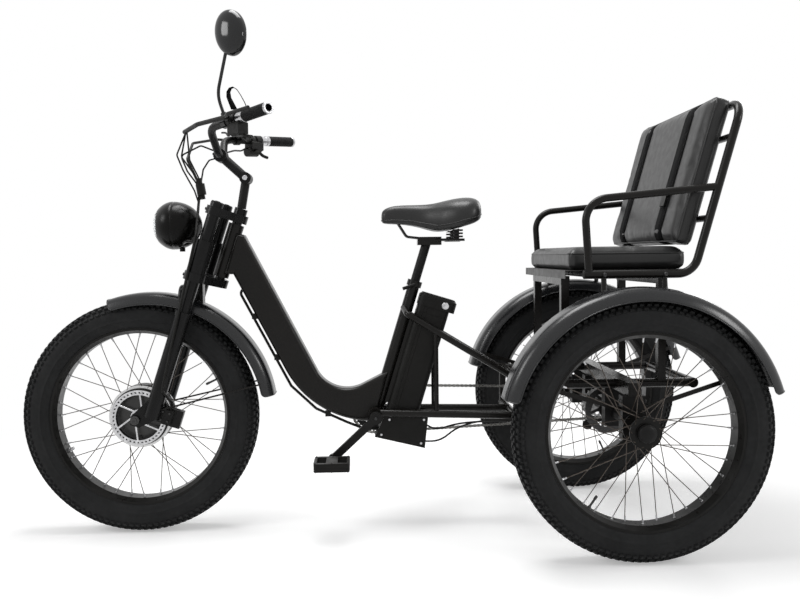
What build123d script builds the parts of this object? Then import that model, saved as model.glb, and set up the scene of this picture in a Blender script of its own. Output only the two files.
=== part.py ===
from build123d import *
import math
import os

# Electric fat-tyre tricycle with a passenger bench.
# Millimetres, +X to the rear, +Y to the rider's right, +Z up.
# The origin is on the ground, half way between the axles.

# Driving dimensions
wheelbase = 1372.0
track = 726.0
tyre_radius = 341.0
tyre_width = 98.0
rim_flange_radius = 259.5
rim_bed_radius = 243.0
rim_width = 76.0
rim_well_width = 44.0
spokes_per_wheel = 36
spoke_radius = 1.2
steer_lean_deg = 18.3
steer_axis_x = -425.0
steer_axis_z = 822.0
fork_leg_y = 80.0
fork_leg_ahead = 57.0
bottom_bracket_z = 333.0
crank_length = 170.0
crank_angle_deg = 222.6
chain_y = 69.0
chainring_teeth = 36
sprocket_teeth = 24
chain_pitch = 12.7
bench_rail_y = track / 2 - 35.0
bench_rail_z = 745.0
housing_y = track / 2 - 83.0
beam_half = housing_y + 24.0
bench_tube_radius = 11.0
frame_rail_y = 185.0
frame_rail_z = 438.0
fit = 0.05

front_axle = (-wheelbase / 2, 0.0, tyre_radius)
rear_axle = (wheelbase / 2, 0.0, tyre_radius)
steer = Location((steer_axis_x, 0, steer_axis_z), (0, steer_lean_deg, 0))
lean_sin = math.sin(math.radians(steer_lean_deg))
lean_cos = math.cos(math.radians(steer_lean_deg))
parts = {}


def rod(start, end, radius):
    # A round bar between two points.
    a = Vector(*start) if isinstance(start, tuple) else start
    b = Vector(*end) if isinstance(end, tuple) else end
    return Solid.make_cylinder(radius, (b - a).length, Plane(origin=a, z_dir=b - a))


def wire_bar(start, end, radius):
    # A thin six-sided bar between two points.
    a = Vector(*start)
    b = Vector(*end)
    section = Plane(origin=a, z_dir=b - a) * RegularPolygon(radius, 6)
    return extrude(section, amount=(b - a).length).solid()


def pipe(start, end, radius, bore):
    # A round tube between two points.
    return rod(start, end, radius) - rod(start, end, bore)


def bent(points, radius, bend, sides=0):
    # A bar along straight runs joined by arcs, round or with flat sides.
    path = FilletPolyline(*points, radius=bend)
    outline = RegularPolygon(radius, sides) if sides else Circle(radius)
    section = Plane(origin=path @ 0, z_dir=path % 0) * outline
    return sweep(section, path=path)


def flat_bar(start, end, width, thickness):
    # A flat strip between two points, thin across the vehicle.
    a = Vector(*start)
    b = Vector(*end)
    section = Plane(origin=a, x_dir=(0, 1, 0), z_dir=b - a) * Rectangle(thickness, width)
    return extrude(section, amount=(b - a).length).solid()


def block(center, size, location=None):
    # A plain box about its centre.
    shape = Pos(*center) * Box(*size)
    return shape.moved(location) if location else shape


def turned(profile, axis_point):
    # A ring turned about a lateral axis; the profile is a list of (y, radius).
    face = make_face(Polyline(*[(0, y, r) for y, r in profile], close=True))
    ring = revolve(face, axis=Axis((0, 0, 0), (0, 1, 0)))
    return ring.moved(Location(axis_point))


def on_steer(x, y, z):
    # A point given beside the steering axis, in the shared frame.
    gx = steer_axis_x + x * lean_cos + z * lean_sin
    gz = steer_axis_z - x * lean_sin + z * lean_cos
    return (gx, y, gz)


# Wheels: tyre, rim, spokes and hub
lug_count = 22
lug_height = 8.0
tyre_bead_y = rim_width / 2
crown_y = 33.0
crown_drop = 7.0
groove_y = 4.0
shoulder_y = tyre_width / 2 - 2.5
shoulder_r = tyre_radius - 25.0
wall_y = tyre_width / 2
wall_r = tyre_radius - 54.0


def tyre_section(left_lug, right_lug):
    # The section from the left bead to the right bead; each half has a tread lug or a gap.
    low = tyre_radius - lug_height
    left = tyre_radius if left_lug else low
    right = tyre_radius if right_lug else low
    bead_r = rim_flange_radius / math.cos(math.pi / (2 * lug_count))
    section = [
        (-tyre_bead_y, bead_r),
        (-wall_y, wall_r),
        (-shoulder_y, shoulder_r),
        (-crown_y, left - crown_drop),
        (-groove_y, left),
        (-groove_y, low),
        (groove_y, low),
        (groove_y, right),
        (crown_y, right - crown_drop),
        (shoulder_y, shoulder_r),
        (wall_y, wall_r),
        (tyre_bead_y, bead_r),
    ]
    return section


def lugged_tyre():
    # A ring of flat facets: lugs alternate from one half of the tread to the other.
    steps = 2 * lug_count
    turns = [math.radians(270.0 + 360.0 * i / steps) for i in range(steps + 1)]
    faces = []

    def at(point, turn):
        return (point[1] * math.cos(turn), point[0], point[1] * math.sin(turn))

    for i in range(steps):
        section = tyre_section(i % 2 == 0, i % 2 == 1)
        before = tyre_section(i % 2 == 1, i % 2 == 0)
        for k in range(len(section)):
            a = section[k]
            b = section[(k + 1) % len(section)]
            if a == b:
                continue
            ring = [at(a, turns[i]), at(b, turns[i]), at(b, turns[i + 1]), at(a, turns[i + 1])]
            faces.append(Face(Wire.make_polygon(ring, close=True)))
        for shoulder, crown, middle in ((2, 3, 4), (9, 8, 7)):
            wall = [section[shoulder], section[crown], section[middle], before[middle], before[crown]]
            faces.append(Face(Wire.make_polygon([at(q, turns[i]) for q in wall], close=True)))
    return Solid(Shell(faces))


tyre_ring = lugged_tyre()
rim_profile = [
    (-rim_width / 2, rim_flange_radius),
    (-rim_width / 2, rim_flange_radius - 7.0),
    (-rim_well_width / 2, rim_bed_radius),
    (rim_well_width / 2, rim_bed_radius),
    (rim_width / 2, rim_flange_radius - 7.0),
    (rim_width / 2, rim_flange_radius),
]
spoke_foot_r = rim_bed_radius + 1.5
front_flange_r = 86.0
rear_flange_r = 36.0
flange_y = 30.0


def spoke_set(axis_point, flange_r, sweep_deg):
    # Spokes laced in crossing pairs, each one clear of its neighbour.
    spokes = []
    for i in range(spokes_per_wheel):
        side = 1 if i % 2 == 0 else -1
        lead = 1 if (i // 2) % 2 == 0 else -1
        outer = math.radians(i * 360.0 / spokes_per_wheel)
        inner = outer + lead * math.radians(sweep_deg)
        foot_y = side * 9.0
        head_y = side * (flange_y + lead * 2.6)
        head = (flange_r * math.cos(inner), head_y, flange_r * math.sin(inner))
        foot = (spoke_foot_r * math.cos(outer), foot_y, spoke_foot_r * math.sin(outer))
        spokes.append(wire_bar(head, foot, spoke_radius).moved(Location(axis_point)))
    return Compound(children=spokes)


wheel_places = [
    ("front", front_axle),
    ("left", (rear_axle[0], -track / 2, rear_axle[2])),
    ("right", (rear_axle[0], track / 2, rear_axle[2])),
]
for name, place in wheel_places:
    parts[name + "_tyre"] = tyre_ring.moved(Location(place))
    parts[name + "_rim"] = turned(rim_profile, place)
    is_front = name == "front"
    flange_r = front_flange_r if is_front else rear_flange_r
    parts[name + "_spokes"] = spoke_set(place, flange_r, 25.0 if is_front else 50.0)

# Front hub motor, its axle and the front brake rotor
front_axle_radius = 7.0
motor_profile = [
    (-36.0, front_axle_radius + fit),
    (-36.0, 30.0),
    (-30.0, 70.0),
    (-33.0, 70.0),
    (-33.0, 90.0),
    (-27.0, 90.0),
    (-27.0, 82.0),
    (27.0, 82.0),
    (27.0, 90.0),
    (33.0, 90.0),
    (33.0, 70.0),
    (30.0, 70.0),
    (36.0, 30.0),
    (36.0, front_axle_radius + fit),
]
parts["hub_motor"] = turned(motor_profile, front_axle)
front_axle_half = 98.0
axle_rod = rod((0, -front_axle_half, 0), (0, front_axle_half, 0), front_axle_radius)
for side in (-1, 1):
    axle_rod += rod((0, side * 87.0, 0), (0, side * 96.0, 0), 13.0)
parts["front_axle"] = axle_rod.moved(Location(front_axle))
front_rotor_y = -50.0
front_rotor_profile = [
    (front_rotor_y - 1.0, 80.0),
    (front_rotor_y + 1.0, 80.0),
    (front_rotor_y + 1.0, 24.0),
    (-36.0, 24.0),
    (-36.0, 12.0),
    (front_rotor_y - 1.0, 12.0),
]


def rotor_windows(y, inner_r, outer_r):
    # Six slanted windows between the arms of a brake rotor.
    cuts = []
    for i in range(6):
        turn = 60.0 * i
        corners = [(inner_r, turn + 8), (inner_r, turn + 50), (outer_r, turn + 66), (outer_r, turn + 15)]
        ring = [(r * math.cos(math.radians(a)), y - 4.0, r * math.sin(math.radians(a))) for r, a in corners]
        cuts.append(extrude(make_face(Polyline(*ring, close=True)), amount=8.0, dir=(0, 1, 0)).solid())
    return cuts


front_rotor = turned(front_rotor_profile, (0, 0, 0))
for cut in rotor_windows(front_rotor_y, 30.0, 65.0):
    front_rotor -= cut
parts["front_rotor"] = front_rotor.moved(Location(front_axle))

# Rear axle with its wheels, sprocket and brake rotor
axle_radius = 12.5
axle_half = track / 2 + 49.0
axle_bar = rod((0, -axle_half, 0), (0, axle_half, 0), axle_radius)
parts["rear_axle"] = axle_bar.moved(Location(rear_axle))
hub_half = 36.0
for name, place, bore in [
    ("left", wheel_places[1][1], axle_radius + fit),
    ("right", wheel_places[2][1], axle_radius),
]:
    hub_profile = [
        (-hub_half, bore),
        (-hub_half, 26.0),
        (-33.0, 26.0),
        (-33.0, 42.0),
        (-27.0, 42.0),
        (-27.0, 24.0),
        (27.0, 24.0),
        (27.0, 42.0),
        (33.0, 42.0),
        (33.0, 26.0),
        (hub_half, 26.0),
        (hub_half, bore),
    ]
    parts[name + "_hub"] = turned(hub_profile, place)
sprocket_pitch_r = chain_pitch / (2 * math.sin(math.pi / sprocket_teeth))
ring_pitch_r = chain_pitch / (2 * math.sin(math.pi / chainring_teeth))
tooth_thick = 3.0
tooth_height = 4.0
tooth_gap = 0.5
chain_under = 2.0
chain_over = 4.0


def toothed_plate(teeth, pitch_r, first_deg):
    # A plate with one tooth between each pair of chain pins.
    tip_r = pitch_r * math.cos(math.pi / teeth) - chain_under - tooth_gap
    root_r = tip_r - tooth_height
    step = 360.0 / teeth
    points = []
    for i in range(teeth):
        for part_of_step, r in ((-0.22, root_r), (0.22, root_r), (0.40, tip_r), (0.60, tip_r)):
            turn = math.radians(first_deg + (i + part_of_step) * step)
            points.append((r * math.cos(turn), chain_y - tooth_thick / 2, r * math.sin(turn)))
    face = make_face(Polyline(*points, close=True))
    return extrude(face, amount=tooth_thick, dir=(0, 1, 0))


sprocket_profile = [
    (chain_y + 1.5, 26.0),
    (chain_y + 14.0, 26.0),
    (chain_y + 14.0, axle_radius),
    (chain_y - 8.0, axle_radius),
    (chain_y - 8.0, 26.0),
    (chain_y - 1.5, 26.0),
]
cog = toothed_plate(sprocket_teeth, sprocket_pitch_r, 90.0)
cog -= rod((0, chain_y - 3, 0), (0, chain_y + 3, 0), 20.0)
for i in range(6):
    turn = math.radians(30.0 + 60.0 * i)
    spot = (33.0 * math.cos(turn), chain_y, 33.0 * math.sin(turn))
    cog -= rod((spot[0], chain_y - 3, spot[2]), (spot[0], chain_y + 3, spot[2]), 5.5)
sprocket = turned(sprocket_profile, (0, 0, 0)) + cog
parts["sprocket"] = sprocket.moved(Location(rear_axle))
rear_rotor_y = -56.0
rear_rotor_profile = [
    (rear_rotor_y - 1.0, 70.0),
    (rear_rotor_y + 1.0, 70.0),
    (rear_rotor_y + 1.0, 24.0),
    (rear_rotor_y + 12.0, 24.0),
    (rear_rotor_y + 12.0, axle_radius),
    (rear_rotor_y - 1.0, axle_radius),
]
rear_rotor = turned(rear_rotor_profile, (0, 0, 0))
for cut in rotor_windows(rear_rotor_y, 30.0, 54.0):
    rear_rotor -= cut
parts["rear_rotor"] = rear_rotor.moved(Location(rear_axle))

# Main tube: one deep beam with round edges that drops to the step and flares into the seat tube
main_half = 29.0
main_edge = 13.0
step_bend = 100.0
belly_bend = 290.0
main_side = [
    (-399.0, 873.0, 0.0),
    (-376.0, 866.0, 0.0),
    (-126.0, 378.0, step_bend),
    (40.0, 461.0, 0.0),
    (10.0, 352.0, 0.0),
    (-20.0, 312.0, 0.0),
    (-191.0, 329.0, belly_bend),
    (-410.0, 752.0, 0.0),
    (-438.0, 752.0, 0.0),
]
main_face = make_face(Polyline(*[(x, 0, z) for x, z, bend in main_side], close=True)).face()
for x, z, bend in main_side:
    if bend > 0:
        corner = main_face.vertices().sort_by_distance((x, 0, z))[0]
        main_face = main_face.fillet_2d(bend, [corner])
main_tube = extrude(main_face, amount=main_half, dir=(0, 1, 0), both=True)
flank_edges = [e for e in main_tube.edges() if abs(abs(e.center().Y) - main_half) < 0.1]
main_tube = fillet(flank_edges, main_edge)
seat_lean_deg = 17.3
seat_dir = Vector(math.sin(math.radians(seat_lean_deg)), 0, math.cos(math.radians(seat_lean_deg)))
bb_center = Vector(0, 0, bottom_bracket_z)
seat_tube_radius = 17.5
seat_tube_length = 412.0
seat_tube_top = bb_center + seat_dir * seat_tube_length
head_tube_radius = 23.0
head_half = 80.0
head_solid = rod(on_steer(0, 0, -head_half), on_steer(0, 0, head_half), head_tube_radius)
seat_solid = rod(bb_center, seat_tube_top, seat_tube_radius)
bb_half = 50.0
bb_radius = 23.0
bb_solid = rod((0, -bb_half, bottom_bracket_z), (0, bb_half, bottom_bracket_z), bb_radius)
parts["main_tube"] = main_tube - head_solid - seat_solid - bb_solid

# Head tube with its bearing cups, and the seat tube with the bottom bracket shell
steerer_radius = 14.3
steerer_bore = rod(on_steer(0, 0, -95), on_steer(0, 0, 95), steerer_radius + fit)
parts["head_tube"] = head_solid - steerer_bore
spindle_radius = 10.0
seat_post_radius = 13.6
post_bore_start = bb_center + seat_dir * 200.0
post_bore = rod(post_bore_start, (seat_tube_top + seat_dir), seat_post_radius)
spindle_bore = rod((0, -60, bottom_bracket_z), (0, 60, bottom_bracket_z), spindle_radius + fit)
seat_tube = seat_solid + bb_solid - post_bore - spindle_bore

# Seat stays and chain stays run back to the front cross tubes of the rear frame
cross_x = 410.0
low_cross_z = 326.0
stay_radius = 11.0
cross_tube_radius = 14.0
upper_cross = rod((cross_x, -199, frame_rail_z), (cross_x, 199, frame_rail_z), cross_tube_radius)
low_cross = rod((cross_x, -199, low_cross_z), (cross_x, 199, low_cross_z), 12.5)
seat_stays = []
chain_stays = []
for side in (-1, 1):
    stay_path = [(88.0, side * 8.0, 646.0), (96.0, side * 52.0, 630.0), (cross_x, side * 58.0, frame_rail_z)]
    seat_stay = bent(stay_path, 9.5, 14.0) - seat_solid - upper_cross
    seat_stays.append(seat_stay.solids().sort_by(Axis.X)[-1])
    stay = rod((14.0, side * 46.0, 341.0), (cross_x, side * 62.0, 330.0), stay_radius)
    chain_stay = stay - bb_solid - low_cross - seat_solid
    chain_stays.append(chain_stay.solids().sort_by(Axis.X)[-1])
brace_x = 178.0
brace_y = 53.5
stay_pairs = []
for side, upper, lower in ((-1, seat_stays[0], chain_stays[0]), (1, seat_stays[1], chain_stays[1])):
    brace = rod((brace_x, side * brace_y, 336.0), (brace_x, side * brace_y, 580.0), 7.0)
    stay_pairs.append(brace.fuse(upper, lower).solid())
parts["rear_stays"] = Compound(children=stay_pairs)

# Rear frame: side rails, cross tubes and the beam that carries the axle bearings
rail_end_x = 884.0
rear_cross = rod((rail_end_x, -199, frame_rail_z), (rail_end_x, 199, frame_rail_z), cross_tube_radius)
beam = block((rear_axle[0], 0, frame_rail_z), (36, 2 * beam_half, 36))
frame_tubes = [low_cross, rear_cross, beam.solid()]
for side in (-1, 1):
    y = side * frame_rail_y
    frame_tubes.append(rod((cross_x, y, frame_rail_z), (rail_end_x, y, frame_rail_z), 12.5))
    frame_tubes.append(rod((cross_x, y, low_cross_z), (cross_x, y, frame_rail_z), 10.5))
rear_frame = upper_cross.fuse(*frame_tubes)
parts["rear_frame"] = rear_frame

# Bearing housings hang from the beam and hold the rear axle
beam_bottom = frame_rail_z - 18.0
axle_bore = rod((rear_axle[0], -400, rear_axle[2]), (rear_axle[0], 400, rear_axle[2]), axle_radius + fit)
housings = []
for y in (-housing_y, -112.0, 112.0, housing_y):
    drop = block((rear_axle[0], y, (beam_bottom + 306.0) / 2), (62, 34, beam_bottom - 306.0))
    housings.append((drop - axle_bore).solid())
parts["axle_housings"] = Compound(children=housings)

# Battery on its dock behind the seat tube, and the controller box below it
seat_frame = Location((0, 0, bottom_bracket_z), (0, seat_lean_deg, 0))
battery_depth = 95.0
battery_width = 68.0
battery_length = 336.0
dock_depth = 9.0
battery_bottom = 20.0
battery_x = seat_tube_radius + dock_depth + battery_depth / 2
battery_z = battery_bottom + battery_length / 2
battery = Pos(battery_x, 0, battery_z) * Box(battery_depth, battery_width, battery_length)
battery = fillet(battery.edges().filter_by(Axis.Z), 14.0)
cap_front = 24.0
cap_back = 136.0
cap_low = 350.0
cap_high = 388.0
cap_width = 76.0
cap = Pos((cap_front + cap_back) / 2, 0, (cap_low + cap_high) / 2)
cap = cap * Box(cap_back - cap_front, cap_width, cap_high - cap_low)
cap = fillet(cap.edges().filter_by(Axis.Z), 16.0)
cap = chamfer(cap.faces().sort_by(Axis.Z)[-1].edges(), 8.0)
parts["battery"] = (battery + cap).moved(seat_frame)
dock_x = seat_tube_radius + dock_depth / 2
dock = block((dock_x - 1.0, 0, battery_z - 10), (dock_depth + 2.0, 30, 270), seat_frame)
clamp_z = seat_tube_length
clamp_ring = Pos(0, 0, clamp_z - 9) * (Cylinder(22.0, 18.0) - Cylinder(seat_tube_radius - 1.0, 18.0))
lever_boss = rod((2.0, -16.0, clamp_z - 10), (2.0, -31.0, clamp_z - 10), 7.0).moved(seat_frame)
clamp_lever = rod((2.0, -27.0, clamp_z - 10), (-30.0, -32.0, clamp_z - 33), 5.0).moved(seat_frame)
collar = clamp_ring.moved(seat_frame) + (lever_boss - seat_solid) + clamp_lever
parts["seat_tube"] = seat_tube + (dock - seat_solid) + collar
controller_half = 32.0
controller_side = [(27.0, 330.0), (155.0, 327.0), (144.0, 231.0), (-3.0, 267.0)]
controller_face = make_face(Polyline(*[(x, 0, z) for x, z in controller_side], close=True))
controller = extrude(controller_face, amount=controller_half, dir=(0, 1, 0), both=True)
parts["controller"] = controller - parts["battery"]

# Seat post, clamp, saddle and its springs
post_top = bb_center + seat_dir * 530.0
parts["seat_post"] = rod(post_bore_start, post_top, seat_post_radius)
saddle_sections = [
    (24.0, 34.0, 898.0, 928.0),
    (34.0, 50.0, 894.0, 939.0),
    (60.0, 58.0, 893.0, 948.0),
    (104.0, 68.0, 890.0, 949.0),
    (150.0, 98.0, 879.0, 949.0),
    (184.0, 152.0, 868.0, 953.0),
    (222.0, 212.0, 871.0, 963.0),
    (262.0, 244.0, 881.0, 969.0),
    (295.0, 226.0, 891.0, 968.0),
    (316.0, 164.0, 908.0, 952.0),
]
saddle_faces = []
for x, width, low, high in saddle_sections:
    plane = Plane(origin=(x, 0, (low + high) / 2), x_dir=(0, 1, 0), z_dir=(1, 0, 0))
    cut = (high - low) * 0.36
    half = width / 2
    mid = (high - low) / 2
    corners = [(-half, -mid + cut), (-half + cut, -mid), (half - cut, -mid), (half, -mid + cut)]
    corners += [(half, mid - cut), (half - cut, mid), (-half + cut, mid), (-half, mid - cut)]
    saddle_faces.append(plane * make_face(Polyline(*corners, close=True)))
parts["saddle"] = loft(saddle_faces, ruled=True)
spring_x = 240.0
spring_y = 62.0
spring_low = 841.0
spring_high = 884.0
undercarriage = block((165.0, 0, 843.0), (70, 44, 24))
for side in (-1, 1):
    hold = side * spring_y
    wire = [(72, side * 12, 897), (98, side * 15, 856), (180, side * 18, 846), (spring_x, hold, 846)]
    undercarriage += bent(wire, 3.5, 14, 8)
    undercarriage += rod((spring_x, hold, spring_low), (spring_x, hold, spring_low + 7), 24.0)
undercarriage = undercarriage - rod(post_bore_start, post_top, seat_post_radius)
springs = []
for side in (-1, 1):
    hold = side * spring_y
    coil = rod((spring_x, hold, spring_low), (spring_x, hold, spring_high), 8.0)
    for step in range(3):
        z = spring_low + 13.0 + 9.0 * step
        coil += rod((spring_x, hold, z - 2.5), (spring_x, hold, z + 2.5), 19.0)
    springs.append(coil.solid())
for coil in springs:
    undercarriage += coil
parts["saddle_frame"] = undercarriage - parts["saddle"]

# Crankset: chainring, spindle, arms and pedal spindles, then the two pedals
crank_dir = Vector(math.cos(math.radians(crank_angle_deg)), 0, math.sin(math.radians(crank_angle_deg)))
arm_inner_y = 78.0
arm_outer_y = 92.0
pedal_y = 152.0
pedal_half = 46.0
pedal_spindle_radius = 6.5
spindle = rod((0, -arm_outer_y, 0), (0, arm_outer_y, 0), spindle_radius)
chainring = toothed_plate(chainring_teeth, ring_pitch_r, 90.0)
chainring -= rod((0, chain_y - 2, 0), (0, chain_y + 2, 0), 48.0)
for i in range(5):
    turn = math.radians(crank_angle_deg + 36.0 + 72.0 * i)
    tip = (54.0 * math.cos(turn), chain_y, 54.0 * math.sin(turn))
    arm = Pos(27.0, chain_y, 0) * Box(54.0, 3.0, 12.0)
    chainring += arm.rotate(Axis.Y, -math.degrees(turn))
chainring += rod((0, chain_y - 1.5, 0), (0, arm_inner_y, 0), 20.0)
cranks = spindle + chainring
pedal_places = []
for side, sign in ((-1, 1), (1, -1)):
    arm = Pos(crank_length / 2, side * (arm_inner_y + arm_outer_y) / 2, 0) * Box(crank_length, 14.0, 22.0)
    arm = arm.rotate(Axis.Y, -crank_angle_deg - (0 if sign == 1 else 180))
    tip = crank_dir * (sign * crank_length)
    cranks += arm
    cranks += rod((0, side * arm_inner_y, 0), (0, side * arm_outer_y, 0), 18.0)
    cranks += rod((tip.X, side * arm_inner_y, tip.Z), (tip.X, side * arm_outer_y, tip.Z), 14.0)
    spindle_end = side * (pedal_y + pedal_half - 6.0)
    cranks += rod((tip.X, side * arm_outer_y, tip.Z), (tip.X, spindle_end, tip.Z), pedal_spindle_radius)
    pedal_places.append((side, tip.X, tip.Z + bottom_bracket_z))
parts["crankset"] = cranks.moved(Location((0, 0, bottom_bracket_z)))
for side, px, pz in pedal_places:
    body = Pos(px, side * pedal_y, pz) * Box(100.0, 2 * pedal_half, 24.0)
    body = fillet(body.edges().filter_by(Axis.Z), 10.0)
    for wx in (-29.0, 29.0):
        body -= Pos(px + wx, side * pedal_y, pz) * Box(26.0, 66.0, 30.0)
    spin_bore = rod((px, side * 90, pz), (px, side * (pedal_y + pedal_half - 5.0), pz), pedal_spindle_radius + fit)
    name = "left_pedal" if side < 0 else "right_pedal"
    parts[name] = body - spin_bore

# Chain: wide and narrow links in turn, pin by pin around both toothed wheels
wide_half = 4.2
narrow_half = 2.9
ring_pins = []
for i in range(chainring_teeth // 2 + 1):
    turn = math.radians(90.0 + 360.0 * i / chainring_teeth)
    ring_pins.append((ring_pitch_r * math.cos(turn), bottom_bracket_z + ring_pitch_r * math.sin(turn)))
cog_pins = []
for i in range(sprocket_teeth // 2 + 1):
    turn = math.radians(270.0 + 360.0 * i / sprocket_teeth)
    pin = (rear_axle[0] + sprocket_pitch_r * math.cos(turn), rear_axle[2] + sprocket_pitch_r * math.sin(turn))
    cog_pins.append(pin)
run_links = round(math.dist(ring_pins[-1], cog_pins[0]) / chain_pitch)


def run_pins(start, end):
    # The pins strictly between two points of a straight run.
    share = [i / run_links for i in range(1, run_links)]
    return [(start[0] + (end[0] - start[0]) * t, start[1] + (end[1] - start[1]) * t) for t in share]


pins = ring_pins + run_pins(ring_pins[-1], cog_pins[0]) + cog_pins + run_pins(cog_pins[-1], ring_pins[0])
lower_edge = []
upper_edge = []
for i in range(len(pins)):
    before = pins[i - 1]
    after = pins[(i + 1) % len(pins)]
    length = math.dist(before, after)
    out_x = -(after[1] - before[1]) / length
    out_z = (after[0] - before[0]) / length
    lower_edge.append((pins[i][0] + out_x * chain_under, pins[i][1] + out_z * chain_under))
    upper_edge.append((pins[i][0] - out_x * chain_over, pins[i][1] - out_z * chain_over))


def chain_points(edge, spots):
    # Points on a chain edge, each as (pin number, sideways offset).
    return [(edge[i % len(pins)][0], chain_y + off, edge[i % len(pins)][1]) for i, off in spots]


chain_faces = []
for i in range(len(pins)):
    n = i + 1
    w = wide_half if i % 2 == 0 else narrow_half
    v = narrow_half
    if i % 2 == 0:
        spots = [(i, -w), (i, -v), (i, v), (i, w), (n, w), (n, v), (n, -v), (n, -w)]
    else:
        spots = [(i, -w), (i, w), (n, w), (n, -w)]
    for edge in (lower_edge, upper_edge):
        chain_faces.append(Face(Wire.make_polygon(chain_points(edge, spots), close=True)))
    for off in (-w, w):
        flank = chain_points(lower_edge, [(i, off), (n, off)]) + chain_points(upper_edge, [(n, off), (i, off)])
        chain_faces.append(Face(Wire.make_polygon(flank, close=True)))
    for sign in (-1, 1):
        span = [(i, sign * v), (i, sign * wide_half)]
        step = chain_points(lower_edge, span) + chain_points(upper_edge, span[::-1])
        chain_faces.append(Face(Wire.make_polygon(step, close=True)))
parts["chain"] = Solid(Shell(chain_faces))

# Rear fenders, turned about the rear axle, and the front fender about its own centre
fender_half = 60.0


def fender(center, y, outer_r, half, start_deg, end_deg):
    # A domed strip turned about a lateral line; angles are up from the rear.
    sheet = 2.5
    profile = [
        (-half, outer_r - 34.0),
        (-half + 7.0, outer_r - 15.0),
        (-half + 24.0, outer_r - 3.0),
        (0.0, outer_r),
        (half - 24.0, outer_r - 3.0),
        (half - 7.0, outer_r - 15.0),
        (half, outer_r - 34.0),
        (half - sheet, outer_r - 34.0),
        (half - 9.0, outer_r - 17.0),
        (half - 25.0, outer_r - 3.0 - sheet),
        (0.0, outer_r - sheet),
        (-half + 25.0, outer_r - 3.0 - sheet),
        (-half + 9.0, outer_r - 17.0),
        (-half + sheet, outer_r - 34.0),
    ]
    face = make_face(Polyline(*[(r, py, 0) for py, r in profile], close=True))
    strip = revolve(face, axis=Axis((0, 0, 0), (0, -1, 0)), revolution_arc=end_deg - start_deg)
    strip = strip.rotate(Axis.Y, -start_deg)
    return strip.moved(Location((center[0], y, center[1])))


rear_fender_r = 373.0
rear_fenders = []
for side in (-1, 1):
    rear_fenders.append(fender((rear_axle[0], rear_axle[2]), side * track / 2, rear_fender_r, fender_half, 16, 166))
parts["rear_fenders"] = Compound(children=[f.solid() for f in rear_fenders])
front_fender_r = 362.0
front_fender_center = (-653.0, 341.0)
front_fender_half = 56.0
parts["front_fender"] = fender(front_fender_center, 0, front_fender_r, front_fender_half, 9, 109.5)

# Bench: tray, rails that bend up into the back frame, armrests, cushions
rail_front_x = 545.0
rail_bend_x = 832.0
back_top_x = 959.0
back_top_z = 1190.0
y = bench_rail_y
bench_path = [
    (rail_front_x, -y, bench_rail_z),
    (rail_bend_x, -y, bench_rail_z),
    (back_top_x, -y, back_top_z),
    (back_top_x, y, back_top_z),
    (rail_bend_x, y, bench_rail_z),
    (rail_front_x, y, bench_rail_z),
]
bench_frame = bent(bench_path, bench_tube_radius, 55.0)
back_lean = math.atan2(back_top_x - rail_bend_x, back_top_z - bench_rail_z)
back_frame = Location((rail_bend_x, 0, bench_rail_z), (0, math.degrees(back_lean), 0))
bar_radius = 9.0
for x in (rail_front_x + 30.0, rail_bend_x - 32.0):
    bench_frame += rod((x, -y, bench_rail_z), (x, y, bench_rail_z), bar_radius)
for up in (150.0, 370.0):
    bench_frame += rod((0, -y, up), (0, y, up), bar_radius).moved(back_frame)
parts["bench_frame"] = bench_frame
armrests = []
arm_radius = 10.0
arm_front_z = 938.0
arm_back_z = 971.0
arm_back_x = rail_bend_x + (arm_back_z - bench_rail_z) * math.tan(back_lean)
for side in (-1, 1):
    arm_path = [
        (rail_front_x + 12, side * y, bench_rail_z),
        (rail_front_x, side * y, arm_front_z),
        (arm_back_x, side * y, arm_back_z),
    ]
    arm = bent(arm_path, arm_radius, 60.0) - bench_frame
    armrests.append(arm.solids().sort_by(SortBy.VOLUME)[-1])
parts["armrests"] = Compound(children=armrests)
tray_top = bench_rail_z + bar_radius + 2.0
tray_low_x = 505.0
tray_high_x = rail_bend_x + 18.0
tray_width = 2 * (bench_rail_y - 48.0)
tray = block(((tray_low_x + tray_high_x) / 2, 0, tray_top - 1.0), (tray_high_x - tray_low_x, tray_width, 2.0))
tray += block((tray_low_x + 1.0, 0, tray_top - 11.0), (2.0, tray_width, 22.0))
cushion_top = 812.0
cushion_front = tray_low_x - 1.0
cushion_back = rail_bend_x + 16.0
cushion_width = tray_width + 6.0
cushion = Pos((cushion_front + cushion_back) / 2, 0, (tray_top + cushion_top) / 2)
cushion = cushion * Box(cushion_back - cushion_front, cushion_width, cushion_top - tray_top)
cushion = fillet(cushion.edges().filter_by(Axis.Z), 30.0)
cushion = chamfer(cushion.faces().sort_by(Axis.Z)[-1].edges(), 12.0)
parts["seat_cushion"] = cushion
panel_x = -bar_radius - 1.0
back_panel = block((panel_x, 0, 268.0), (2.0, tray_width - 20.0, 330), back_frame)
parts["bench_panels"] = Compound(children=[tray.solid(), back_panel.solid()])
back_thick = 52.0
back_x = -bar_radius - 2.0 - back_thick / 2
back_pad = Pos(back_x, 0, 270.0) * Box(back_thick, tray_width + 40.0, 400.0)
back_pad = fillet(back_pad.edges().filter_by(Axis.X), 34.0)
back_pad = chamfer(back_pad.faces().sort_by(Axis.X)[0].edges(), 12.0)
parts["back_cushion"] = back_pad.moved(back_frame)

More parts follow.
